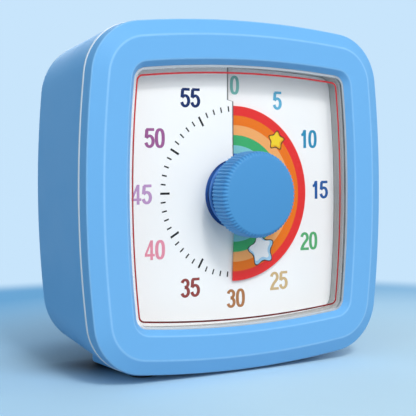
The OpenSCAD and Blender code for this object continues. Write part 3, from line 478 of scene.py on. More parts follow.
# Metal: brushed lines in tone, roughness and height, with a slow stain over them
def metalFinish(name, look):
    material, tree, shader, vector = startMaterial(name)
    lines = place(tree, brushLines, Vector=vector, Stretch=look.get("stretch", (0.4, 12.0, 12.0)))["Lines"]
    dark = calc(tree, "MULTIPLY", lines, look.get("lineTone", 0.35))
    colour = place(tree, drift, Vector=vector, Color=colourMix(tree, dark, look["colour"], look["dark"]),
                   Amount=look.get("stain", 0.06), Size=look.get("stainSize", 4.0))["Color"]
    tree.links.new(colour, shader.inputs["Base Color"])
    shader.inputs["Metallic"].default_value = 1.0
    rough = calc(tree, "MULTIPLY", lines, look.get("lineRoughness", 0.18))
    tree.links.new(calc(tree, "ADD", look["roughness"], rough), shader.inputs["Roughness"])
    bump(tree, shader, lines, look.get("lineDepth", 0.004))
    return material


finishes = {
    # edgeColour and edgeAmount: the lighter colour on rounded edges, partly wear and partly a painted
    # highlight
    "caseBlue": {"colour": tone(115, 182, 238), "roughness": 0.42, "specular": 0.1, "smudge": 0.07,
                 "drift": 0.015, "edgeColour": tone(160, 212, 255), "edgeAmount": 0.55,
                 "grainSize": 0.5, "grainDepth": 0.006},
    "knobBlue": {"colour": tone(78, 150, 208), "roughness": 0.42, "specular": 0.2, "smudge": 0.08,
                 "drift": 0.015, "edgeColour": tone(100, 172, 228), "edgeAmount": 0.4,
                 "grainSize": 0.35, "grainDepth": 0.006},
    "hubBlue": {"colour": tone(62, 126, 204), "roughness": 0.42, "drift": 0.02, "grainSize": 0.3},
    "trayWhite": {"colour": tone(180, 178, 175), "roughness": 0.6, "drift": 0.01, "grainSize": 0.4},
    "seamSilver": {"colour": tone(232, 238, 244), "roughness": 0.32, "drift": 0.03, "driftSize": 6.0,
                   "grainSize": 0.2, "grainDepth": 0.003, "coat": 0.3},
    "sliderWhite": {"colour": tone(232, 232, 228), "roughness": 0.5, "drift": 0.02, "smudge": 0.15},
    "movementIvory": {"colour": tone(224, 217, 198), "roughness": 0.5, "drift": 0.03, "grainSize": 0.4,
                      "grainDepth": 0.015},
    "gearAcetal": {"colour": tone(238, 236, 228), "roughness": 0.42, "drift": 0.02, "grainSize": 0.2},
    "blackMoulded": {"colour": tone(38, 38, 40), "roughness": 0.5, "drift": 0.08, "grainSize": 0.35,
                     "grainDepth": 0.02},
    "blackResin": {"colour": tone(24, 24, 25), "roughness": 0.22, "drift": 0.15, "driftSize": 3.0,
                   "coat": 0.4},
    "feetRubber": {"colour": tone(46, 46, 48), "roughness": 0.78, "drift": 0.08, "driftSize": 3.0,
                   "smudge": 0.15, "grainSize": 0.25, "grainDepth": 0.03, "ior": 1.5},
    "redWire": {"colour": tone(196, 34, 30), "roughness": 0.45, "drift": 0.05, "driftSize": 6.0},
    "blackWire": {"colour": tone(26, 26, 28), "roughness": 0.45, "drift": 0.1, "driftSize": 6.0},
}
metals = {
    "brightSteel": {"colour": tone(214, 216, 220), "dark": tone(150, 152, 158), "roughness": 0.22},
    "gearBrass": {"colour": tone(222, 188, 112), "dark": tone(160, 122, 58), "roughness": 0.28,
                  "stretch": (6.0, 0.5, 6.0)},
    "coilCopper": {"colour": tone(198, 108, 62), "dark": tone(110, 48, 24), "roughness": 0.3,
                   "stretch": (9.0, 0.4, 0.4), "lineTone": 0.8, "lineDepth": 0.05},
    "darkMagnet": {"colour": tone(92, 92, 96), "dark": tone(52, 52, 56), "roughness": 0.45},
    "cellCan": {"colour": tone(120, 122, 128), "dark": tone(74, 76, 82), "roughness": 0.3,
                "stretch": (0.3, 8.0, 8.0)},
}
material = {name: mouldedPlastic(name, look) for name, look in finishes.items()}
material.update({name: metalFinish(name, look) for name, look in metals.items()})


# Distance from the main axis in mm, from Object coordinates centred on the axis
def axisRadius(tree, vector):
    flat = tree.nodes.new("ShaderNodeVectorMath")
    flat.operation = "MULTIPLY"
    flat.inputs[1].default_value = (1000.0, 0.0, 1000.0)
    tree.links.new(vector, flat.inputs[0])
    length = tree.nodes.new("ShaderNodeVectorMath")
    length.operation = "LENGTH"
    tree.links.new(flat.outputs[0], length.inputs[0])
    return length.outputs["Value"]


axisCentre = (0.0, 0.0, case["centreHeight"] + case["axisRise"])
paper = {"mottle": 0.02, "mottleSize": 0.35, "stain": 0.012, "stainSize": 12.0, "smudge": 0.06,
         "smudgeSize": 6.0, "grainSize": 0.25, "grainDepth": 0.004, "ior": 1.3}


# Printed sheet: an ink or paper colour, a paper colour with a dark line of painted shade along its marked
# edge, or rings of colour by radius, with a faint print grain
def printedSheet(name, look):
    sheet, tree, shader, vector = startMaterial(name, axisCentre)
    if "bands" in look:
        bands = look["bands"]
        share = calc(tree, "DIVIDE", axisRadius(tree, vector), look["radius"])
        ramp = tree.nodes.new("ShaderNodeValToRGB")
        ramp.color_ramp.interpolation = "CONSTANT"
        stops = ramp.color_ramp.elements
        stops[0].position, stops[0].color = 0.0, bands[0][1]
        stops[1].position, stops[1].color = bands[1]
        for position, ink in bands[2:]:
            stops.new(position).color = ink
        tree.links.new(share, ramp.inputs["Fac"])
        colour = ramp.outputs["Color"]
    elif "slitShade" in look:
        colour = colourMix(tree, markOf(tree, "edge").outputs["Fac"], look["colour"], look["slitShade"])
    else:
        colour = markOf(tree, look["attribute"]).outputs["Color"]
    colour = place(tree, drift, Vector=vector, Color=colour, Amount=look.get("mottle", paper["mottle"]),
                   Size=paper["mottleSize"])["Color"]
    colour = place(tree, drift, Vector=vector, Color=colour, Amount=paper["stain"],
                   Size=paper["stainSize"])["Color"]
    tree.links.new(colour, shader.inputs["Base Color"])
    rough = place(tree, handling, Vector=vector, Base=look["roughness"], Amount=paper["smudge"],
                  Size=paper["smudgeSize"])["Roughness"]
    tree.links.new(rough, shader.inputs["Roughness"])
    bump(tree, shader, place(tree, grain, Vector=vector, Size=paper["grainSize"])["Height"],
         paper["grainDepth"])
    shader.inputs["IOR"].default_value = paper["ior"]
    shader.inputs["Specular IOR Level"].default_value = look.get("specular", 0.5)
    return sheet


lensLook = {"colour": tone(236, 243, 250), "ior": 1.49, "clear": 0.01, "grazingSheen": 0.35, "blend": 0.25,
            "power": 3.0, "rim": 0.5, "roughness": 0.06, "smudge": 0.1, "smudgeSize": 14.0}


# Clear lens: nearly transparent; its pale colour shows more at grazing angles as a painted sheen, and along
# its rim as a painted glint
def lensFinish(look):
    clear, tree, shader, vector = startMaterial("lensClear")
    shader.inputs["Base Color"].default_value = look["colour"]
    shader.inputs["IOR"].default_value = look["ior"]
    weight = tree.nodes.new("ShaderNodeLayerWeight")
    weight.inputs["Blend"].default_value = look["blend"]
    facing = weight.outputs["Facing"]
    grazingSheen = calc(tree, "MULTIPLY", facing, calc(tree, "POWER", facing, look["power"]))
    # painted glint: the rim mark makes the pale colour show along the lens rim
    rim = calc(tree, "MULTIPLY", markOf(tree, "edge").outputs["Fac"], look["rim"])
    veil = calc(tree, "ADD", look["clear"], calc(tree, "MULTIPLY", grazingSheen, look["grazingSheen"]))
    tree.links.new(calc(tree, "ADD", veil, rim, clamp=True), shader.inputs["Alpha"])
    rough = place(tree, handling, Vector=vector, Base=look["roughness"], Amount=look["smudge"],
                  Size=look["smudgeSize"])["Roughness"]
    tree.links.new(rough, shader.inputs["Roughness"])
    return clear


boardLook = {"mask": tone(22, 92, 52), "maskDark": tone(18, 84, 46), "track": tone(48, 132, 78),
             "trackScale": 180.0, "trackWidth": 0.035, "relief": 0.02, "drift": 0.05, "driftSize": 3.0,
             "coat": 0.3, "roughness": 0.3, "smudge": 0.1, "smudgeSize": 3.0}


# Circuit board: solder mask with faint tracks under it, from a brick pattern that also gives the height
def boardFinish(look):
    board, tree, shader, vector = startMaterial("boardGreen")
    turned = tree.nodes.new("ShaderNodeMapping")
    turned.inputs["Rotation"].default_value = (math.pi / 2, 0.0, 0.0)
    tree.links.new(vector, turned.inputs["Vector"])
    tracks = tree.nodes.new("ShaderNodeTexBrick")
    tracks.inputs["Scale"].default_value = look["trackScale"]
    tracks.inputs["Mortar Size"].default_value = look["trackWidth"]
    tracks.inputs["Color1"].default_value = look["mask"]
    tracks.inputs["Color2"].default_value = look["maskDark"]
    tracks.inputs["Mortar"].default_value = look["track"]
    tree.links.new(turned.outputs["Vector"], tracks.inputs["Vector"])
    colour = place(tree, drift, Vector=vector, Color=tracks.outputs["Color"], Amount=look["drift"],
                   Size=look["driftSize"])["Color"]
    tree.links.new(colour, shader.inputs["Base Color"])
    shader.inputs["Coat Weight"].default_value = look["coat"]
    rough = place(tree, handling, Vector=vector, Base=look["roughness"], Amount=look["smudge"],
                  Size=look["smudgeSize"])["Roughness"]
    tree.links.new(rough, shader.inputs["Roughness"])
    bump(tree, shader, tracks.outputs["Fac"], look["relief"])
    return board


# Colours of the disc's rings, each from its share of the disc's radius outwards
discBands = [(0.0, tone(52, 112, 196)), (0.455, tone(130, 204, 212)), (0.550, tone(60, 176, 108)),
             (0.666, tone(250, 174, 104)), (0.780, tone(243, 119, 8)), (0.887, tone(236, 44, 42))]
prints = {
    # the dial's second colour is a dark line of painted shade along the slit's edges
    "dialPrint": {"colour": tone(254, 254, 254), "slitShade": tone(84, 84, 88), "roughness": 0.6,
                  "mottle": 0.008},
    "discPrint": {"bands": discBands, "radius": dial["discRadius"], "roughness": 0.45, "specular": 0.25},
    "inkPrint": {"attribute": "ink", "roughness": 0.45, "mottle": 0.03, "specular": 0.25},
}
material.update({name: printedSheet(name, look) for name, look in prints.items()})
material["lensClear"] = lensFinish(lensLook)
material["boardGreen"] = boardFinish(boardLook)
print("stage: materials made,", len(material))

# Case: front half
frontHalf = {"creaseRadius": 0.35, "faceRadius": 0.35, "lipRadius": 0.3, "lipEdge": 0.1, "seamRadius": 0.2,
             "faceFrom": 5.4, "faceTo": 3.2, "lipMark": 0.8,
             "pocketGrow": 2.35, "ribGrow": 3.95, "ribDepth": 4.2, "hollowDepth": 1.92,
             "earX": 35.2, "earZ": 14.0, "earRadius": 1.7, "earRoot": 0.3, "earEnd": 4.3,
             "earBore": 0.8, "boreFloor": 0.5, "boreFlare": 0.1}


# Closed profile: up the side, over the bevel and the flat face, down the lip, round the lens pocket and back
def buildFrontHalf(look):
    outer = roundProfile([(case["wall"], case["seamStart"], 0), (0.0, case["seamStart"], look["seamRadius"]),
                          (0.0, case["bevelDepth"], look["creaseRadius"]),
                          (case["bevelWidth"], 0.0, look["faceRadius"]), (look["faceFrom"], 0.0, 0)])
    inner = roundProfile([(look["faceTo"], 0.0, 0), (case["lipWidth"], 0.0, look["lipRadius"]),
                          (0.0, case["lipDepth"], look["lipEdge"]), (look["pocketGrow"], case["lipDepth"], 0),
                          (look["pocketGrow"], look["ribDepth"], 0), (look["ribGrow"], look["ribDepth"], 0),
                          (look["ribGrow"], look["hollowDepth"], 0)])
    rows = [("case", a, d) for a, d, _ in outer] + [("window", a, d) for a, d, _ in inner]
    rows.append(("case", case["wall"], look["hollowDepth"]))
    # marks on the rounded edges, where the case colour is lightened by wear and a painted highlight
    marks = np.concatenate([outer[:, 2], inner[:, 2] * look["lipMark"], [0.0]])
    rings = shellRings(rows)
    shell = makePiece("caseFront", [ringSurface(rings)], edge=np.repeat(marks, rings.shape[1]))
    steps = []
    for x in (-look["earX"], look["earX"]):
        for z in (-look["earZ"], look["earZ"]):
            post = prism("post", growingCircle(look["earRadius"], facets["post"]), (x, z),
                         look["hollowDepth"] - look["earRoot"], look["earEnd"])
            bore = prism("bore", growingCircle(look["earBore"], facets["bore"]), (x, z),
                         look["hollowDepth"] + look["boreFloor"], look["earEnd"], look["boreFlare"])
            steps += [("UNION", post), ("DIFFERENCE", bore)]
    return carve(shell, steps)


fit(buildFrontHalf(frontHalf), "case", "case_blue", material["caseBlue"], "front_bezel")
print("stage: front half")

# Lens with its printed line
# rimWidth, rimFade, rimMark and backMark place the painted glint along the lens rim
lensShape = {"front": 1.5, "back": 2.7, "grip": 2.2, "holeRadius": 4.5, "edgeRound": 0.12, "rimWidth": 0.4,
             "rimFade": 0.65, "rimMark": 0.9, "backMark": 0.5, "ringShare": 0.4}
redLine = {"grow": -1.5, "corner": 1.2, "width": 0.4, "thick": 0.03, "depth": 2.7, "tall": 0.992, "drop": 0.1,
           "ink": tone(204, 52, 58), "shadedLowInk": tone(124, 44, 42), "lowFrom": 25.0, "lowOver": 3.0}


# Flat plate between the window's outline and a round hole: rings blend from one outline to the other
def buildLens(look):
    line = windowOutline(look["grip"])
    around = np.arctan2(line[:, 1] - case["axisRise"], line[:, 0])
    hole = np.stack([look["holeRadius"] * np.cos(around),
                     case["axisRise"] + look["holeRadius"] * np.sin(around)], 1)
    inside = windowOutline(-look["rimFade"])
    e, share = look["edgeRound"], look["ringShare"]
    outside = line * (1 - e / (case["windowHalf"] + look["grip"]))
    mouth = hole + (hole - [0, case["axisRise"]]) * e / look["holeRadius"]
    half = [(outside, 0.0, 0.0), (windowOutline(0.0), 0.0, 1.0),
            (windowOutline(-look["rimWidth"]), 0.0, look["rimMark"]), (inside, 0.0, 0.0),
            (inside * (1 - share) + hole * share, 0.0, 0.0), (mouth, 0.0, 0.0), (hole, e, 0.0)]
    rows = [(line, look["front"] + e, 0.0)] + [(o, look["front"] + d, m) for o, d, m in half]
    rows += [(o, look["back"] - d, m * look["backMark"]) for o, d, m in half[::-1]]
    rows.append((line, look["back"] - e, 0.0))
    rings = np.stack([spot(o[:, 0], d, o[:, 1]) for o, d, _ in rows])
    marks = np.repeat([m for _, _, m in rows], rings.shape[1])
    return makePiece("windowLens", [ringSurface(rings)], edge=marks)


# Thin closed band that follows the window's shape; its ink goes darker near the bottom, over lowOver mm, as
# painted shade
def buildRedLine(look):
    rings = []
    thick = look["thick"]
    for offset, depth in ((0, thick), (0, 0.0), (1, 0.0), (1, thick)):
        grow = look["grow"] + offset * look["width"]
        line = bowedOutline(case["windowHalf"] + grow, case["windowBow"] + grow,
                            look["corner"] + offset * look["width"])
        rings.append(spot(line[:, 0], look["depth"] + depth, line[:, 1] * look["tall"] - look["drop"]))
    low = np.clip((-look["lowFrom"] - line[:, 1]) / look["lowOver"], 0, 1)[:, None]
    inks = (1 - low) * np.array(look["ink"]) + low * np.array(look["shadedLowInk"])
    return makePiece("lensLine", [ringSurface(np.stack(rings))], ink=np.tile(inks, (len(rings), 1)))


fit(buildLens(lensShape), "case", "lens_clear", material["lensClear"], "lens")
fit(buildRedLine(redLine), "case", "lens_clear", material["inkPrint"])
print("stage: lens")

# Trim band in the seam
trimBand = {"proud": 0.1, "edgeRadius": 0.15, "edgeSteps": 3, "edgeHold": 0.04, "inset": 1.85, "ease": 0.01}


# A band that fills the seam and stands a little proud of the case, with two round edges
def buildTrimBand(look):
    start, end = case["seamStart"], case["seamEnd"]
    profile = roundProfile([(look["inset"], start, 0),
                            (-look["proud"], start + look["ease"], look["edgeRadius"]),
                            (-look["proud"], end - look["ease"], look["edgeRadius"]),
                            (look["inset"], end, 0)], steps=look["edgeSteps"], hold=look["edgeHold"])
    return makePiece("trimBand", [ringSurface(shellRings([("case", a, d) for a, d, _ in profile]))])


fit(buildTrimBand(trimBand), "case", "silver_trim", material["seamSilver"], "seam_band")

# Rear half of the case
rearHalf = {
    "seamRadius": 0.2, "bevelRadius": 0.9, "wallDepth": 34.3, "capInset": 11.0,
    "rootInWall": 0.4, "pastWall": 0.2, "pastBack": 0.3, "mouthRound": 0.2,
    "bayHalfX": 28.0, "bayHeight": 15.0, "bayZ": -24.5, "bayFront": 18.4, "bayWall": 1.2,
    "bayCorner": 0.6, "bayRoomCorner": 0.3,
    "doorHalfX": 28.95, "doorHeight": 16.2, "doorCorner": 0.35, "doorSeat": 34.8,
    "thumbRadius": 4.5, "thumbDepth": 1.0,
    "tongueX": 18.0, "tongueWidth": 6.7, "tongueRoom": 2.8, "tongueRoomDepth": 31.85,
    "tongueWay": 2.0, "tongueWayZ": -17.4, "tongueCorner": 0.1,
    "tabX": 27.8, "tabSlot": (0.55, 3.15), "tabCorner": 0.05,
    "screws": ((25.0, 27.0), (26.0, -12.5)), "bossRadius": 2.9, "bossEnd": 14.2, "seatDepth": 18.6,
    "headBore": 2.2, "headFlare": 0.3, "screwBore": 1.1,
    "postX": 19.0, "postRadius": 1.9, "postEnd": 30.5, "postBore": 0.8, "boardZ": 27.0,
    "slotX": -11.0, "slotGap": 2.2, "slotCount": 5, "slotWidth": 1.1, "slotLength": 7.0,
    "switchX": 10.5, "switchWidth": 8.3, "switchHeight": 2.5, "switchCorner": 0.5,
    "runnerX": 22.0, "runnerRadius": 4.0, "runnerBottom": 0.5, "runnerTop": 7.15, "runnerRound": 0.5,
    "runnerSteps": 10, "footSeat": 3.15, "footTop": 1.2, "footDepths": (11.5, 28.5),
}
roundEnd = 0.001  # keeps the straight side of a slot with round ends from shrinking to nothing


# Upright prism of a rounded outline in plan, with a rounded bottom edge, from low to high in world mm
def uprightPrism(name, outline, x, depth, low, high, roundBottom=0.0):
    rows = [(0.0, low), (0.0, high)]
    if roundBottom:
        t = np.linspace(0, math.pi / 2, outlineSteps["roundOver"])
        edge = zip(-roundBottom * (1 - np.sin(t)), low + roundBottom * (1 - np.cos(t)))
        rows = list(edge) + [(0.0, high)]
    rings = []
    for grow, height in rows:
        line = outline(grow)
        rings.append(spot(x + line[:, 0], depth + line[:, 1], height - case["centreHeight"]))
    return makePiece(name, [ringSurface(np.stack(rings), loop=False)])


# Tub profile from the middle of the back outside, round the bevel and the seam, to the middle inside
def rearTub(look):
    full = case["depth"]
    outer = roundProfile([(look["capInset"], full, 0), (case["backBevel"], full, look["bevelRadius"]),
                          (0.0, full - case["backBevel"], look["bevelRadius"]),
                          (0.0, case["seamEnd"], look["seamRadius"]), (case["wall"], case["seamEnd"], 0)])
    inner = np.array([[case["wall"], look["wallDepth"], 0.0], [look["capInset"], look["wallDepth"], 0.0]])
    profile = np.concatenate([outer, inner])
    rings = shellRings([("rear", a, d) for a, d, _ in profile])
    marks = np.repeat(profile[:, 2], rings.shape[1])
    return makePiece("caseRear", [ringSurface(rings, loop=False)], edge=marks)


# What stands up inside the tub or under it: screw bosses, board posts, runners and the walls of the bay
def rearAdditions(look):
    root, (first, last) = look["wallDepth"] + look["rootInWall"], look["footDepths"]
    boss = growingCircle(look["bossRadius"], facets["boss"])
    post = growingCircle(look["postRadius"], facets["post"])
    wide, bayWall = 2 * look["runnerRadius"], look["bayWall"]
    runner = growingBox(wide, wide + last - first, look["runnerRadius"] - roundEnd, look["runnerSteps"])
    bay = growingBox(2 * (look["bayHalfX"] + bayWall), look["bayHeight"] + 2 * bayWall, look["bayCorner"])
    tools = []
    for side in (-1, 1):
        tools += [prism("boss", boss, (side * x, z), look["bossEnd"], root) for x, z in look["screws"]]
        tools.append(prism("post", post, (side * look["postX"], look["boardZ"]), look["postEnd"], root))
        tools.append(uprightPrism("runner", runner, side * look["runnerX"], (first + last) / 2,
                                  look["runnerBottom"], look["runnerTop"], look["runnerRound"]))
    return tools + [prism("bay", bay, (0, look["bayZ"]), look["bayFront"] - bayWall, root)]


# What is cut through the back: the bay, the door's seat and thumb notch, the switch and sound slots
def rearOpenings(look):
    back, inside, mouth = case["depth"], look["wallDepth"] - look["pastWall"], look["mouthRound"]
    bay, boardZ = (0, look["bayZ"]), look["boardZ"]
    notch = (0, look["bayZ"] - look["doorHeight"] / 2)
    room = growingBox(2 * look["bayHalfX"], look["bayHeight"], look["bayRoomCorner"])
    seat = growingBox(2 * look["doorHalfX"], look["doorHeight"], look["doorCorner"])
    thumb = growingCircle(look["thumbRadius"], facets["large"])
    switch = growingBox(look["switchWidth"], look["switchHeight"], look["switchCorner"])
    slot = growingBox(look["slotWidth"], look["slotLength"], look["slotWidth"] / 2 - roundEnd)
    places = look["slotX"] + look["slotGap"] * (np.arange(look["slotCount"]) - (look["slotCount"] - 1) / 2)
    return [prism("bayRoom", room, bay, look["bayFront"], back + look["pastBack"]),
            prism("doorSeat", seat, bay, look["doorSeat"], back, mouth),
            prism("thumb", thumb, notch, back - look["thumbDepth"], back, mouth),
            prism("switchSlot", switch, (look["switchX"], boardZ), inside, back, mouth),
            *[prism("slot", slot, (x, boardZ), inside, back, mouth) for x in places]]


# What is cut on both sides: screw seats and bores, room for the door's tongues, tab slots and foot seats
def rearBores(look, side):
    back, wall, past = case["depth"], look["wallDepth"], look["pastWall"]
    bayZ, bayFront, tongueX = look["bayZ"], look["bayFront"], side * look["tongueX"]
    head = growingCircle(look["headBore"], facets["boss"])
    shank = growingCircle(look["screwBore"], facets["bore"])
    post = growingCircle(look["postBore"], facets["bore"])
    room = growingBox(look["tongueWidth"], look["tongueRoom"], look["tongueCorner"])
    way = growingBox(look["tongueWidth"], look["tongueWay"], look["tongueCorner"])
    tab = growingBox(*look["tabSlot"], look["tabCorner"])
    foot = growingCircle(look["footSeat"], facets["boss"])
    tools = []
    for x, z in look["screws"]:
        tools += [prism("headBore", head, (side * x, z), look["seatDepth"], back, look["headFlare"]),
                  prism("screwBore", shank, (side * x, z), look["bossEnd"] - past, look["seatDepth"] + past)]
    tools += [prism("postBore", post, (side * look["postX"], look["boardZ"]), look["postEnd"] - past,
                    wall - 2 * past),
              prism("tongueRoom", room, (tongueX, bayZ + look["bayHeight"] / 2), look["tongueRoomDepth"],
                    wall),
              prism("tongueWay", way, (tongueX, look["tongueWayZ"]), wall - past,
                    look["doorSeat"] + past / 2),
              prism("tabSlot", tab, (side * look["tabX"], bayZ), bayFront - look["bayWall"] - past,
                    bayFront + past)]
    return tools + [uprightPrism("footSeat", foot, side * look["runnerX"], depth, 0.0, look["footTop"])
                    for depth in look["footDepths"]]


def buildRearHalf(look):
    shell = rearTub(look)
    steps = [("UNION", tool) for tool in rearAdditions(look)]
    cuts = rearOpenings(look) + rearBores(look, -1) + rearBores(look, 1)
    return carve(shell, steps + [("DIFFERENCE", tool) for tool in cuts])


fit(buildRearHalf(rearHalf), "case", "case_blue", material["caseBlue"], "rear_shell")
print("stage: rear half")

# Door, volume slider, feet, tray
doorEdge = 0.22
fit(softened("battery_door", "cellDoor", doorEdge), "battery_door", "case_blue", material["caseBlue"],
    "battery_door")
sliderShape = {"x": rearHalf["switchX"], "z": rearHalf["boardZ"], "front": 32.05, "shoulder": 33.5,
               "back": 36.1, "edge": 0.18, "edgeSteps": 4, "landing": 0.2, "foot": (4.2, 2.2),
               "lever": (2.6, 1.8), "corner": 0.25, "cornerSteps": 4, "grooves": 3, "groovePitch": 0.6,
               "grooveWidth": 0.2, "grooveDepth": 0.12, "grooveCorner": 0.05, "groovePast": 0.1,
               "smoothAngle": 40}


# Volume slider: round-cornered rings for its foot, then for its lever, whose end has grooves across the
# travel. Each ring of an edge is moved in by a quarter round
def buildSlider(look):
    t = np.linspace(0, math.pi / 2, look["edgeSteps"])
    inset = look["edge"] * (1 - np.sin(t))
    swing = look["edge"] * (1 - np.cos(t))
    rows = [(look["foot"], i, look["front"] + s) for i, s in zip(inset, swing)]
    rows += [(look["foot"], 0.0, look["shoulder"]), (look["lever"], 0.0, look["shoulder"])]
    rows += [(look["lever"], 0.0, look["back"] - look["edge"] - look["landing"])]
    rows += [(look["lever"], i, look["back"] - s) for i, s in zip(inset[::-1], swing[::-1])]
    rings = []
    for (w, h), i, depth in rows:
        line = roundedBox(w - 2 * i, h - 2 * i, look["corner"], look["cornerSteps"])
        rings.append(spot(look["x"] + line[:, 0], depth, look["z"] + line[:, 1]))
    body = makePiece("volumeSlider", [ringSurface(np.stack(rings), loop=False)], look["smoothAngle"])
    groove = growingBox(look["grooveWidth"], look["lever"][1] + 2 * look["landing"], look["grooveCorner"])
    places = look["x"] + look["groovePitch"] * (np.arange(look["grooves"]) - (look["grooves"] - 1) / 2)
    cuts = [prism("groove", groove, (x, look["z"]), look["back"] - look["grooveDepth"],
                  look["back"] + look["groovePast"]) for x in places]
    return carve(body, [("DIFFERENCE", cut) for cut in cuts], look["smoothAngle"])


fit(buildSlider(sliderShape), "switch_slider", "white_plastic", material["sliderWhite"], "switch_slider")
trayShape = {"grow": 0.02, "front": 2.5, "back": 5.6, "smoothAngle": 30}


# Dial tray: the frame's own mesh, with its window wall cut even past the roots of the ears
def buildTray(look):
    opening = prism("opening", lambda grow: windowOutline(look["grow"] + grow), (0, 0), look["front"],
                    look["back"])
    return carve(softened("dial_tray", "dialTray", 0.0), [("DIFFERENCE", opening)], look["smoothAngle"])


fit(buildTray(trayShape), "case", "white_plastic", material["trayWhite"], "dial_tray")
footShape = {"radius": 3.0, "core": 0.3, "edge": 0.35, "top": rearHalf["footTop"], "ring": 1.9,
             "ringWidth": 0.15, "ringDepth": 0.15, "slope": 0.1, "steps": 40}


# Round foot: a profile of [radius, height] turned about an upright axis, with a shallow ring underneath
def footSurface(x, depth, look):
    t = np.linspace(0, math.pi / 2, outlineSteps["roundOver"])
    ring, groove, top, r, e = look["ring"], look["ringDepth"], look["top"], look["radius"], look["edge"]
    start, slope = ring - look["ringWidth"], look["slope"]
    radius = np.concatenate([[look["core"], start - slope, start, ring, ring + slope, r - e - slope],
                             r - e + e * np.sin(t), [r, r, look["core"]]])
    height = np.concatenate([[0, 0, groove, groove, 0, 0], e - e * np.cos(t), [top - slope, top, top]])
    a = np.arange(look["steps"]) * (2 * math.pi / look["steps"])
    rings = spot(x + radius[:, None] * np.cos(a), depth + radius[:, None] * np.sin(a),
                 height[:, None] - case["centreHeight"])
    return ringSurface(rings, loop=False)


def buildFeet(look):
    places = [(side * rearHalf["runnerX"], depth) for side in (-1, 1) for depth in rearHalf["footDepths"]]
    return makePiece("gripFeet", [footSurface(x, depth, look) for x, depth in places])


fit(buildFeet(footShape), "case", "rubber", material["feetRubber"], "feet")

# Case screws with a cross recess
screwShape = {"headRadius": 1.9, "head": 1.6, "dome": 0.35, "shank": 0.95, "neck": 0.1, "length": 7.0,
              "core": 0.05, "tip": 0.35, "point": 0.9, "plain": 1.2, "threadStep": 0.35, "threadDepth": 0.12,
              "slotWidth": 0.55, "slotLength": 2.4, "slotDepth": 0.8, "slotCorner": 0.1, "slotPast": 0.4}


# Screw turned from a profile of [radius, depth]: a slightly domed head and a shank with shallow threads
def buildScrews(look):
    t = np.linspace(0, math.pi / 2, outlineSteps["roundOver"])
    seat = rearHalf["seatDepth"]
    head, end = seat + look["head"], seat - look["length"]
    turns = np.arange(0, look["length"] - look["plain"], look["threadStep"])
    crests = look["shank"] - look["threadDepth"] * (np.arange(len(turns)) % 2)
    profile = [(look["core"], end), (look["tip"], end)] + list(zip(crests, end + look["point"] + turns))
    profile += [(look["shank"], seat - look["neck"]), (look["shank"], seat), (look["headRadius"], seat)]
    profile += list(zip(look["headRadius"] - look["dome"] * (1 - np.cos(t)),
                        head - look["dome"] + look["dome"] * np.sin(t)))
    profile.append((look["core"], head))
    one = makePiece("oneScrew", [ringSurface(turnedRings(profile, facets["post"], (0.0, 0.0)), loop=False)])
    slot = (look["slotWidth"], look["slotLength"])
    slots = [prism("recess", growingBox(w, h, look["slotCorner"]), (0, 0), head - look["slotDepth"],
                   head + look["slotPast"]) for w, h in (slot, slot[::-1])]
    carve(one, [("DIFFERENCE", slot) for slot in slots])
    points = np.empty(len(one.data.vertices) * 3)
    one.data.vertices.foreach_get("co", points)
    faces = [list(face.vertices) for face in one.data.polygons]
    shifts = [(side * x, z) for side in (-1, 1) for x, z in rearHalf["screws"]]
    copies = [(points.reshape(-1, 3) + [0.001 * x, 0.0, 0.001 * z], faces) for x, z in shifts]
    bpy.data.objects.remove(one)
    return makePiece("caseScrews", copies)


fit(buildScrews(screwShape), "case", "steel", material["brightSteel"], "case_screws")
print("stage: door, slider, feet, tray, screws")


# The dial is one turn of a helical sheet: its front comes forward by one pitch over a turn clockwise from
# the top, by the angle in degrees
def dialDepth(angle):
    return dial["depth"] - dial["pitch"] * angle / 360


# A point of a sheet at a radius and an angle clockwise from the top, both arrays, at a depth
def sheetSpot(radius, angle, depth):
    a = np.radians(angle)
    return spot(radius * np.sin(a), depth, case["axisRise"] + radius * np.cos(a))


# Closed sheet from front points [angle step, ring, xyz]: front and back rows make a loop at each angle, and
# each end is closed by a strip of quads between its front and back row
def sheetSurface(front, thickness):
    back = front + [0.0, thickness * 0.001, 0.0]
    points, faces = ringSurface(np.concatenate([front, back[:, ::-1]], 1), loop=False)
    last = 2 * front.shape[1] - 1
    strips = [[end[j], end[j + 1], end[last - 1 - j], end[last - j]]
              for end in faces[-2:] for j in range(last // 2)]
    return points, faces[:-2] + strips


# Distance from the axis to the window outline, less the gap, at an angle: read off a fine outline
def windowReach(angle):
    line = windowOutline(-dial["edgeGap"]) - [0.0, case["axisRise"]]
    around = np.degrees(np.arctan2(line[:, 0], line[:, 1])) % 360
    order = np.argsort(around)
    return np.interp(angle % 360, around[order], np.hypot(*line.T)[order], period=360)


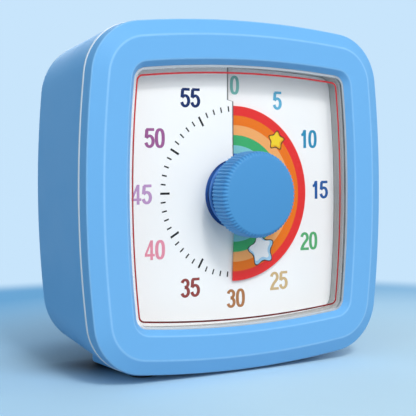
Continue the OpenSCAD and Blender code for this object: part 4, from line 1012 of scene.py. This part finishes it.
# Dial sheet on rows of angle and rings of radius, open along the slit. The rows next to each end lie at fixed
# distances from the slit, which carries a mark of 1 that fades to 0: it paints a dark line of shade along the
# slit
def buildDial():
    turn = np.linspace(0, 360, dial["turnSteps"] + 1)[:, None]
    inner = np.linspace(dial["holeRadius"], dial["stepRadius"], dial["innerRings"])
    outer = [dial["stepRadius"] + dial["stepWidth"], *dial["outerRings"]]
    radius = np.concatenate([inner, outer])
    slitOut = dial["slitX"] + dial["slitStep"]
    aside = np.repeat([dial["slitX"], slitOut], [len(inner), len(outer)])
    angle = turn - np.degrees(np.arcsin(aside / radius))
    edge = turn - math.degrees(math.asin(slitOut / case["windowHalf"]))
    radius = np.hstack([np.broadcast_to(radius, angle.shape), windowReach(edge)])
    angle = np.hstack([angle, edge])
    near = np.degrees(np.array(dial["slitShade"])[:, None] / radius[:1])
    angle = np.vstack([angle[:1], angle[:1] + near, angle[1:-1], angle[-1:] - near[::-1], angle[-1:]])
    radius = np.vstack([radius[:1]] * 3 + [radius[1:-1]] + [radius[-1:]] * 3)
    mark = np.zeros(len(angle))
    mark[[0, 1, -2, -1]] = 1.0
    front = sheetSpot(radius, angle, dialDepth(angle))
    marks = np.repeat(mark, 2 * radius.shape[1])
    return makePiece("dialSheet", [sheetSurface(front, dial["thickness"])], 30, edge=marks)


fit(buildDial(), "case", "dial_print", material["dialPrint"], "dial_face")

# Dial print: plain numbers and ticks as thin ink on the helical sheet
minuteAngle = 6.0
inkForm = {"lift": 0.02, "root": 0.05}  # how far ink stands in front of its sheet, and how far it reaches in
numberStyle = {"halfWidth": 0.86, "halfHeight": 1.89, "upright": 0.82, "level": 0.62, "gap": 0.08,
               "squareness": 0.8, "ringRadius": 24.95, "centreX": 0.35, "centreZ": 0.32, "zeroNudge": 0.41}
numberInks = {0: (124, 194, 186), 5: (94, 178, 214), 10: (34, 142, 184), 15: (30, 90, 162),
              20: (88, 176, 114), 25: (212, 182, 134), 30: (178, 120, 74), 35: (150, 66, 62),
              40: (236, 148, 170), 45: (192, 152, 200), 50: (160, 90, 148), 55: (0, 38, 98)}
tickStyle = {"outerRadius": 19.94, "longMark": 2.4, "longWidth": 0.5, "shortMark": 1.25, "shortWidth": 0.34,
             "centre": (0.08, 0.39), "ink": (22, 22, 24)}


# Points on an ellipse arc from one angle to another, in degrees anticlockwise from the right
def arc(x, z, rx, rz, start, end, count=14):
    a = np.radians(np.linspace(start, end, count))
    return np.stack([x + rx * np.cos(a), z + rz * np.sin(a)], 1)


# Cubic curve between two points with two pull points
def bend(p0, p1, p2, p3, count=14):
    t = np.linspace(0, 1, count)[:, None]
    p0, p1, p2, p3 = (np.array(p, float) for p in (p0, p1, p2, p3))
    return (1 - t) ** 3 * p0 + 3 * t * (1 - t) ** 2 * p1 + 3 * t * t * (1 - t) * p2 + t ** 3 * p3


# Middle lines of the digits in a box of half width w and half height h, as shares of both; a ring is closed
def digitStrokes(digit, style):
    w, h = style["halfWidth"], style["halfHeight"]
    tall, wide = 1 + style["level"] / (2 * h), 1 + style["upright"] / (2 * w)
    ring = circle(1.0, facets["large"])
    oval = np.sign(ring) * np.abs(ring) ** style["squareness"]
    strokes = {
        "0": [(oval, True)],
        "1": [([(0.30, -tall), (0.30, tall)], False),
              (bend((-0.85, 0.50), (-0.35, 0.54), (0.10, 0.70), (0.16, 1.02)), False)],
        "2": [(np.vstack([arc(0, 0.49, 1, 0.51, 172, 8),
                          bend((1, 0.42), (1, 0.04), (-0.78, -0.32), (-0.92, -1))]), False),
              ([(-wide, -1), (wide, -1)], False)],
        "3": [(np.vstack([arc(-0.03, 0.55, 0.92, 0.45, 168, -62), [[-0.18, 0.11]]]), False),
              (np.vstack([[[-0.18, 0.05]], arc(0, -0.47, 1, 0.53, 68, -166, 18)]), False)],
        "4": [([(0.54, -tall), (0.54, tall)], False, 0.84), ([(-wide, -0.59), (wide, -0.59)], False, 0.9),
              ([(0.38, 1.04), (-1.17, -0.50)], False, 0.66)],
        "5": [([(-0.90, 1), (wide - 0.08, 1)], False), ([(-0.72, 1), (-0.92, 0.02)], False),
              (np.vstack([[[-0.92, 0.04]], arc(0.02, -0.37, 1.06, 0.63, 122, -166, 20)]), False)],
    }[digit]
    # a stroke may end with its own share of the width
    return [(np.array(line) * [w, h], closed, share[0] if share else 1.0) for line, closed, *share in strokes]


# Ink band along a middle line: its width goes from upright to level with the line's direction, and its front
# lies a little in front of the dial's depth at each point's own angle
def inkBand(line, closed, middle, width):
    if closed:
        along = np.roll(line, -1, 0) - np.roll(line, 1, 0)
    else:
        along = np.gradient(line, axis=0)
    along = along / np.linalg.norm(along, axis=1, keepdims=True)
    across = np.stack([-along[:, 1], along[:, 0]], 1) * 0.5
    across *= np.hypot(width[0] * along[:, 1], width[1] * along[:, 0])[:, None]
    left, right = middle[0] + line + across, middle[0] + line - across
    sides = []
    front, root = -inkForm["lift"], inkForm["root"]
    for edge, behind in ((left, front), (right, front), (right, root), (left, root)):
        angle = np.degrees(np.arctan2(edge[:, 0], edge[:, 1]))
        angle = middle[1] + (angle - middle[1] + 180) % 360 - 180
        sides.append(spot(edge[:, 0], dialDepth(angle) + behind, case["axisRise"] + edge[:, 1]))
    return ringSurface(np.stack(sides, 1), loop=closed)


# Numbers every five minutes, their digits side by side about each place on a ring
def buildNumbers(style):
    surfaces, inks = [], []
    step = 2 * style["halfWidth"] + style["upright"] + style["gap"]
    for minutes, ink in numberInks.items():
        a = math.radians(minuteAngle * minutes)
        centre = np.array([style["centreX"] + style["ringRadius"] * math.sin(a),
                           style["centreZ"] + style["ringRadius"] * math.cos(a)])
        if minutes == 0:
            centre[0] += style["zeroNudge"]
        digits = str(minutes)
        for order, digit in enumerate(digits):
            middle = centre + [step * (order - (len(digits) - 1) / 2), 0.0]
            for line, closed, share in digitStrokes(digit, style):
                width = (share * style["upright"], share * style["level"])
                surfaces.append(inkBand(line, closed, (middle, minuteAngle * minutes), width))
                inks.append(np.tile(tone(*ink), (len(surfaces[-1][0]), 1)))
    return makePiece("dialNumbers", surfaces, 60, ink=np.concatenate(inks))


# Sixty ticks, with a longer and wider one every five minutes
def buildTicks(style):
    surfaces = []
    centre, outer = np.array(style["centre"]), style["outerRadius"]
    for minute in range(60):
        a = math.radians(minuteAngle * minute)
        kind = "long" if minute % 5 == 0 else "short"
        reach = np.array([outer - style[kind + "Mark"], outer])
        width = style[kind + "Width"]
        line = np.stack([reach * math.sin(a), reach * math.cos(a)], 1)
        surfaces.append(inkBand(line, False, (centre, minuteAngle * minute), (width, width)))
    inks = np.tile(tone(*style["ink"]), (sum(len(s[0]) for s in surfaces), 1))
    return makePiece("dialTicks", surfaces, 60, ink=inks)


fit(buildNumbers(numberStyle), "case", "dial_print", material["inkPrint"])
fit(buildTicks(tickStyle), "case", "dial_print", material["inkPrint"])
print("stage: dial and its print")

# Time disc with two small stars, hub
discShape = {"inner": 6.75, "outer": dial["discRadius"], "thickness": 0.4, "lift": 0.8, "shown": 182.4,
             "turnSteps": 240, "rings": 8}
starForm = {"steps": 80, "swell": 0.20, "soften": 0.035, "core": 0.02, "root": 0.05, "outline": 0.28,
            "outlineInk": (20, 20, 24), "lifts": (0.015, 0.025, 0.035), "fillShift": 0.1, "fillShare": 0.84}
starStyle = (
    {"name": "whiteStar", "angle": 152.0, "radius": 15.3, "size": 3.0, "turn": 12.0,
     "fill": (250, 252, 255), "shade": (172, 214, 242)},
    {"name": "yellowStar", "angle": 44.0, "radius": 17.2, "size": 1.75, "turn": -8.0,
     "fill": (250, 214, 40), "shade": (240, 176, 30)},
)


# The disc's front lies this far in front of the dial's at the same angle
def discDepth(angle):
    return dialDepth(angle) - discShape["lift"]


# One turn of a helical sheet that ends at the angle shown
def buildDisc(look):
    angle = np.linspace(look["shown"] - 360, look["shown"], look["turnSteps"] + 1)[:, None]
    radius = np.linspace(look["inner"], look["outer"], look["rings"])
    angle, radius = np.broadcast_arrays(angle, radius)
    front = sheetSpot(radius, angle, discDepth(angle))
    return makePiece("timeDisc", [sheetSurface(front, look["thickness"])], 30)


# Five-pointed star with soft points, as thin ink on the disc, moved up and to the left by shift:
# radius = size (1 + swell cos 5a + soften cos 10a)
def starSurface(star, grow, lift, shift=0.0, squeeze=1.0):
    a = np.arange(starForm["steps"]) * (2 * math.pi / starForm["steps"])
    wave = 1 + starForm["swell"] * np.cos(5 * a) + starForm["soften"] * np.cos(10 * a)
    turn = a + math.radians(star["turn"] + 90)
    place, core, root = math.radians(star["angle"]), starForm["core"], starForm["root"]
    rings = []
    for share, depth in ((core, root), (1.0, root), (1.0, -lift), (core, -lift)):
        r = share * (star["size"] * squeeze * wave + grow)
        x = star["radius"] * math.sin(place) - shift + r * np.cos(turn)
        z = star["radius"] * math.cos(place) + shift + r * np.sin(turn)
        angle = np.degrees(np.arctan2(x, z)) % 360
        rings.append(spot(x, discDepth(angle) + depth, case["axisRise"] + z))
    return ringSurface(np.stack(rings), loop=False)


# Three inks on each other: a dark outline, the shade, and a smaller fill
def buildStar(star):
    low, middle, high = starForm["lifts"]
    fill = starSurface(star, 0.0, high, starForm["fillShift"] * star["size"], starForm["fillShare"])
    parts = [(starSurface(star, starForm["outline"], low), starForm["outlineInk"]),
             (starSurface(star, 0.0, middle), star["shade"]), (fill, star["fill"])]
    inks = np.concatenate([np.tile(tone(*ink), (len(s[0]), 1)) for s, ink in parts])
    return makePiece(star["name"], [s for s, _ in parts], 60, ink=inks)


fit(buildDisc(discShape), "disc", "disc_print", material["discPrint"], "time_disc")
for star in starStyle:
    fit(buildStar(star), "disc", "disc_print", material["inkPrint"])
hubShape = {"radius": 7.75, "barrel": 6.7, "front": 4.3, "flange": 0.8, "back": 7.889, "bore": 1.55,
            "edge": 0.3, "flangeEdge": 0.12, "backEdge": 0.15, "boreFrom": 0.6, "steps": 120}


# Hub turned about the axis: a bore, a flange in front and a barrel behind it
def buildHub(look):
    front, back, r, bore = look["front"], look["back"], look["radius"], look["bore"]
    flangeBack = front + look["flange"]
    profile = roundProfile([(bore, front + look["boreFrom"], 0), (bore, front, 0), (r, front, look["edge"]),
                            (r, flangeBack, look["flangeEdge"]), (look["barrel"], flangeBack, 0),
                            (look["barrel"], back, look["backEdge"]), (bore, back, 0)])
    return makePiece("discHub", [ringSurface(turnedRings(profile[:, :2], look["steps"]))])


fit(buildHub(hubShape), "disc", "hub_blue", material["hubBlue"], "disc_hub")

# Setting knob
knobShape = {"radius": 9.8, "front": -5.0, "dome": 0.5, "rim": 1.3, "back": 0.35, "wall": 1.4, "corner": 0.3,
             "faceRings": (0.5, 3.0, 6.0, 7.6), "rimSteps": 11, "rimGap": 0.1,
             "sideSteps": 8, "sideGap": 0.15, "backRound": 0.2, "backSteps": 4, "backGap": 0.05,
             "ribs": 70, "ribHeight": 0.33, "ribPower": 1.5, "samples": 8, "fadeFrom": 8.0, "fadeOver": 34.0,
             "boss": 3.5, "bossBack": 2.9, "bore": 1.52, "boreGap": 0.1}


# Cup with a rounded rim, turned about the axis: radius = profile radius less ribHeight times a rounded wave,
# one wave for each rib, which fades out over the rim towards the face
def buildKnob(look):
    r, front, back, rim, e = (look[key] for key in ("radius", "front", "back", "rim", "backRound"))
    rimTurn = np.linspace(0, 90, look["rimSteps"])
    a, b = np.radians(rimTurn), np.radians(np.linspace(0, 90, look["backSteps"]))
    reach = np.array([*look["faceRings"], r - rim - look["rimGap"]])
    face = np.stack([reach, front - look["dome"] * (1 - (reach / (r - rim)) ** 2)], 1)
    rimArc = np.stack([r - rim + rim * np.sin(a), front + rim - rim * np.cos(a)], 1)
    down = np.linspace(front + rim + look["sideGap"], back - e - look["backGap"], look["sideSteps"])
    side = np.stack([np.full(look["sideSteps"], r), down], 1)
    backArc = np.stack([r - e + e * np.cos(b), back - e + e * np.sin(b)], 1)
    inner, cap, corner = r - look["ribHeight"] - look["wall"], front + look["wall"], look["corner"]
    boreFront = cap + look["boreGap"]
    inside = np.array([[inner, back], [inner, cap + corner], [inner - corner, cap], [look["boss"], cap],
                       [look["boss"], look["bossBack"]], [look["bore"], look["bossBack"]],
                       [look["bore"], boreFront], [look["faceRings"][0], boreFront]])
    profile = np.concatenate([face, rimArc, side, backArc, inside])
    rimFade = np.clip((rimTurn - look["fadeFrom"]) / look["fadeOver"], 0, 1)
    fade = np.concatenate([np.zeros(len(face)), rimFade, np.ones(len(side) + len(backArc)),
                           np.zeros(len(inside))])
    fade = fade * fade * (3 - 2 * fade)
    steps = look["ribs"] * look["samples"]
    angle = np.arange(steps) * (2 * math.pi / steps)
    wave = (0.5 + 0.5 * np.cos(look["ribs"] * angle)) ** look["ribPower"]
    radius = profile[:, :1] - look["ribHeight"] * fade[:, None] * wave
    rings = spot(radius * np.sin(angle), profile[:, 1:2], case["axisRise"] + radius * np.cos(angle))
    # crest: the rib crests, lightened by wear and a painted highlight
    crest = (fade[:, None] * (1 - wave)).ravel()
    return makePiece("settingKnob", [ringSurface(rings, loop=False)], 50, edge=crest)


fit(buildKnob(knobShape), "knob", "knob_blue", material["knobBlue"], "knob")
print("stage: disc, stars, hub and knob")

# The driver chip's drop of resin, with the doubles of its mesh merged
fit(softened("driver_chip", "driverChip", 0.0), "case", "black_resin", material["blackResin"], "driver_chip")

# Materials of the pieces that stay as the frame has them
slotMaterial = {
    "white_plastic": "trayWhite", "steel": "brightSteel", "brass": "gearBrass", "gear_plastic": "gearAcetal",
    "magnet": "darkMagnet", "movement_plastic": "movementIvory", "copper": "coilCopper",
    "board_green": "boardGreen", "black_resin": "blackResin", "black_plastic": "blackMoulded",
    "cell_can": "cellCan", "rubber": "feetRubber", "wire_red": "redWire", "wire_black": "blackWire",
    "case_blue": "caseBlue", "knob_blue": "knobBlue", "hub_blue": "hubBlue", "silver_trim": "seamSilver",
    "dial_print": "dialPrint", "disc_print": "discPrint", "lens_clear": "lensClear",
}
for part in frame["record"]["subparts"]:
    for holder in nodes[part["node"]].material_slots:
        holder.material = material[slotMaterial[part["material_slot"]]]
print("stage: inner pieces finished")

# Floor, light and camera
stageLook = {"floorRings": (0.02, 0.1, 0.2, 0.4, 1.2), "floorSides": 96, "roughness": 0.9, "specular": 0.1,
             "near": (0.25, tone(203, 236, 255)), "middle": (0.58, tone(178, 220, 250)),
             "far": (0.90, tone(112, 178, 228)), "toneCentre": (0.04, -0.06, 0.0), "toneReach": 220.0,
             "bounce": tone(176, 186, 194), "plainShare": 0.5, "shadeStart": 40.0, "shadeEnd": 105.0,
             # contact keys: reach, strength and place of the painted contact shadow
             "contactReach": 45.0, "contactPower": 1.8, "contactCentre": (-0.015, 0.022, 0.0),
             "contactFrom": 15.0, "contactTo": 36.0,
             "backdrop": tone(200, 229, 252), "fadeStart": 150.0, "fadeEnd": 185.0}


# Round floor: rings of points at height zero, with a flat cap in the middle
def buildFloor(look):
    sides = look["floorSides"]
    a = np.arange(sides) * (2 * math.pi / sides)
    radius = np.array(look["floorRings"])[:, None]
    rings = np.stack([radius * np.cos(a), radius * np.sin(a), np.zeros((len(radius), sides))], -1)
    row = np.arange(len(radius) - 1)[:, None] * sides
    here = np.arange(sides)
    after = (here + 1) % sides
    quads = np.stack([row + here, row + sides + here, row + sides + after, row + after], -1).reshape(-1, 4)
    return makePiece("floor", [(rings.reshape(-1, 3), quads.tolist() + [list(range(sides))])])


# A smooth step from 0 to 1 between two distances in mm
def smoothShare(tree, value, start, end):
    node = tree.nodes.new("ShaderNodeMapRange")
    node.interpolation_type = "SMOOTHSTEP"
    node.inputs["From Min"].default_value, node.inputs["From Max"].default_value = start * 0.001, end * 0.001
    tree.links.new(value, node.inputs["Value"])
    return node.outputs["Result"]


# 1 on the rays that see the set itself: camera, glossy and transmission rays
def plainlySeen(tree):
    ray = tree.nodes.new("ShaderNodeLightPath")
    seen = calc(tree, "MAXIMUM", ray.outputs["Is Camera Ray"], ray.outputs["Is Glossy Ray"])
    return calc(tree, "MAXIMUM", seen, ray.outputs["Is Transmission Ray"])


# Floor tone by distance from toneCentre, darker further out as a painted fall-off of light, part lit and part
# plain, as the camera and reflections see it; to other light the floor is a plain grey. Near contactCentre a
# painted contact shadow darkens it where the object closes it in, and past the fade only the backdrop's
# colour is seen
def floorFinish(look):
    paint, tree, shader, vector = startMaterial("floorPale")
    distance = tree.nodes.new("ShaderNodeVectorMath")
    distance.operation = "LENGTH"
    tree.links.new(vector, distance.inputs[0])
    offCentre = tree.nodes.new("ShaderNodeVectorMath")
    offCentre.operation = "DISTANCE"
    offCentre.inputs[1].default_value = look["toneCentre"]
    tree.links.new(vector, offCentre.inputs[0])
    share = calc(tree, "DIVIDE", offCentre.outputs["Value"], look["toneReach"] * 0.001)
    # the tone ramp darkens away from toneCentre as a painted fall-off of light
    ramp = tree.nodes.new("ShaderNodeValToRGB")
    stops = ramp.color_ramp.elements
    stops[0].position, stops[0].color = look["near"]
    stops[1].position, stops[1].color = look["far"]
    stops.new(look["middle"][0]).color = look["middle"][1]
    tree.links.new(share, ramp.inputs["Fac"])
    visible = plainlySeen(tree)
    # painted contact shadow: ambient occlusion darkens the floor's colour within reach of contactCentre
    contact = tree.nodes.new("ShaderNodeAmbientOcclusion")
    contact.inputs["Distance"].default_value = look["contactReach"] * 0.001
    openness = calc(tree, "POWER", contact.outputs["AO"], look["contactPower"])
    along = tree.nodes.new("ShaderNodeVectorMath")
    along.operation = "DISTANCE"
    along.inputs[1].default_value = look["contactCentre"]
    tree.links.new(vector, along.inputs[0])
    beyond = smoothShare(tree, along.outputs["Value"], look["contactFrom"], look["contactTo"])
    shade = calc(tree, "MULTIPLY", calc(tree, "SUBTRACT", 1.0, beyond), calc(tree, "SUBTRACT", 1.0, openness))
    seen = colourMix(tree, shade, ramp.outputs["Color"], (0.0, 0.0, 0.0, 1.0))
    tree.links.new(colourMix(tree, visible, look["bounce"], seen), shader.inputs["Base Color"])
    shader.inputs["Roughness"].default_value = look["roughness"]
    shader.inputs["Specular IOR Level"].default_value = look["specular"]
    plain = tree.nodes.new("ShaderNodeEmission")
    tree.links.new(ramp.outputs["Color"], plain.inputs["Color"])
    lit = tree.nodes.new("ShaderNodeMixShader")
    away = smoothShare(tree, distance.outputs["Value"], look["shadeStart"], look["shadeEnd"])
    tree.links.new(calc(tree, "MULTIPLY", calc(tree, "MULTIPLY", visible, away), look["plainShare"]),
                   lit.inputs["Fac"])
    tree.links.new(shader.outputs["BSDF"], lit.inputs[1])
    tree.links.new(plain.outputs["Emission"], lit.inputs[2])
    fade = smoothShare(tree, distance.outputs["Value"], look["fadeStart"], look["fadeEnd"])
    glow = tree.nodes.new("ShaderNodeEmission")
    glow.inputs["Color"].default_value = look["backdrop"]
    mixed = tree.nodes.new("ShaderNodeMixShader")
    tree.links.new(calc(tree, "MULTIPLY", fade, visible), mixed.inputs["Fac"])
    tree.links.new(lit.outputs["Shader"], mixed.inputs[1])
    tree.links.new(glow.outputs["Emission"], mixed.inputs[2])
    tree.links.new(mixed.outputs["Shader"], tree.nodes["Material Output"].inputs["Surface"])
    return paint


floor = buildFloor(stageLook)
floor.data.materials.append(floorFinish(stageLook))

skyLook = {"colour": tone(240, 245, 249), "strength": 0.29}
lampAim = (0, 0, 0.04)
lampLook = {
    "keyLamp": {"at": (-0.12, -0.76, 0.76), "size": 0.2, "power": 3.35, "colour": (1.0, 0.99, 0.97)},
    "frontLamp": {"at": (-0.02, -0.92, 0.58), "size": 1.0, "power": 5.7, "colour": (1.0, 0.995, 0.985)},
    "sideLamp": {"at": (-0.80, -0.35, 0.30), "size": 0.5, "power": 1.2, "colour": (0.50, 0.86, 1.0)},
    "rightLamp": {"at": (0.80, -0.40, 0.35), "size": 0.4, "power": 0.7, "colour": (1.0, 0.99, 0.97)},
    "backLamp": {"at": (0.35, 0.92, 0.20), "size": 0.6, "power": 2.4, "colour": (0.94, 0.98, 1.0)},
}


# World: the backdrop's colour to camera and glossy rays, and an even sky light to the rest
def buildWorld(look, backdrop):
    world = bpy.data.worlds.new("studio")
    bpy.context.scene.world = world
    world.use_nodes = True
    tree = world.node_tree
    sky = tree.nodes["Background"]
    sky.inputs["Color"].default_value, sky.inputs["Strength"].default_value = look["colour"], look["strength"]
    wall = tree.nodes.new("ShaderNodeBackground")
    wall.inputs["Color"].default_value, wall.inputs["Strength"].default_value = backdrop, 1.0
    mixed = tree.nodes.new("ShaderNodeMixShader")
    tree.links.new(plainlySeen(tree), mixed.inputs["Fac"])
    tree.links.new(sky.outputs["Background"], mixed.inputs[1])
    tree.links.new(wall.outputs["Background"], mixed.inputs[2])
    tree.links.new(mixed.outputs["Shader"], tree.nodes["World Output"].inputs["Surface"])


# A round lamp that points at the middle of the case and isn't seen itself
def softLamp(name, look):
    lamp = bpy.data.lights.new(name, "AREA")
    lamp.shape, lamp.size, lamp.energy, lamp.color = "DISK", look["size"], look["power"], look["colour"]
    holder = bpy.data.objects.new(name, lamp)
    bpy.context.scene.collection.objects.link(holder)
    holder.location = look["at"]
    holder.visible_camera = False
    holder.rotation_euler = (Vector(lampAim) - Vector(look["at"])).to_track_quat("-Z", "Y").to_euler()


buildWorld(skyLook, stageLook["backdrop"])
for lampName, lamp in lampLook.items():
    softLamp(lampName, lamp)

cameraLook = {"at": (-0.131706, -0.213668, 0.049685), "yaw": 0.547257, "pitch": 0.048727, "roll": -0.00561,
              "lens": 90.06, "sensor": 36.0, "clipStart": 0.01}


# Camera from yaw, pitch and roll: its back direction, then right and up turned by the roll
def buildCamera(look):
    yaw, pitch, roll = look["yaw"], look["pitch"], look["roll"]
    back = Vector((-math.sin(yaw) * math.cos(pitch), -math.cos(yaw) * math.cos(pitch), math.sin(pitch)))
    right = (-back).cross(Vector((0, 0, 1))).normalized()
    up = right.cross(-back)
    across = math.cos(roll) * right + math.sin(roll) * up
    upward = -math.sin(roll) * right + math.cos(roll) * up
    data = bpy.data.cameras.new("camera")
    data.lens, data.sensor_width, data.clip_start = look["lens"], look["sensor"], look["clipStart"]
    camera = bpy.data.objects.new("camera", data)
    bpy.context.scene.collection.objects.link(camera)
    turn = Matrix((across, upward, back)).transposed().to_4x4()
    camera.matrix_world = Matrix.Translation(look["at"]) @ turn
    bpy.context.scene.camera = camera


buildCamera(cameraLook)
bpy.context.scene.view_settings.view_transform = "Standard"
print("stage: floor, light and camera")
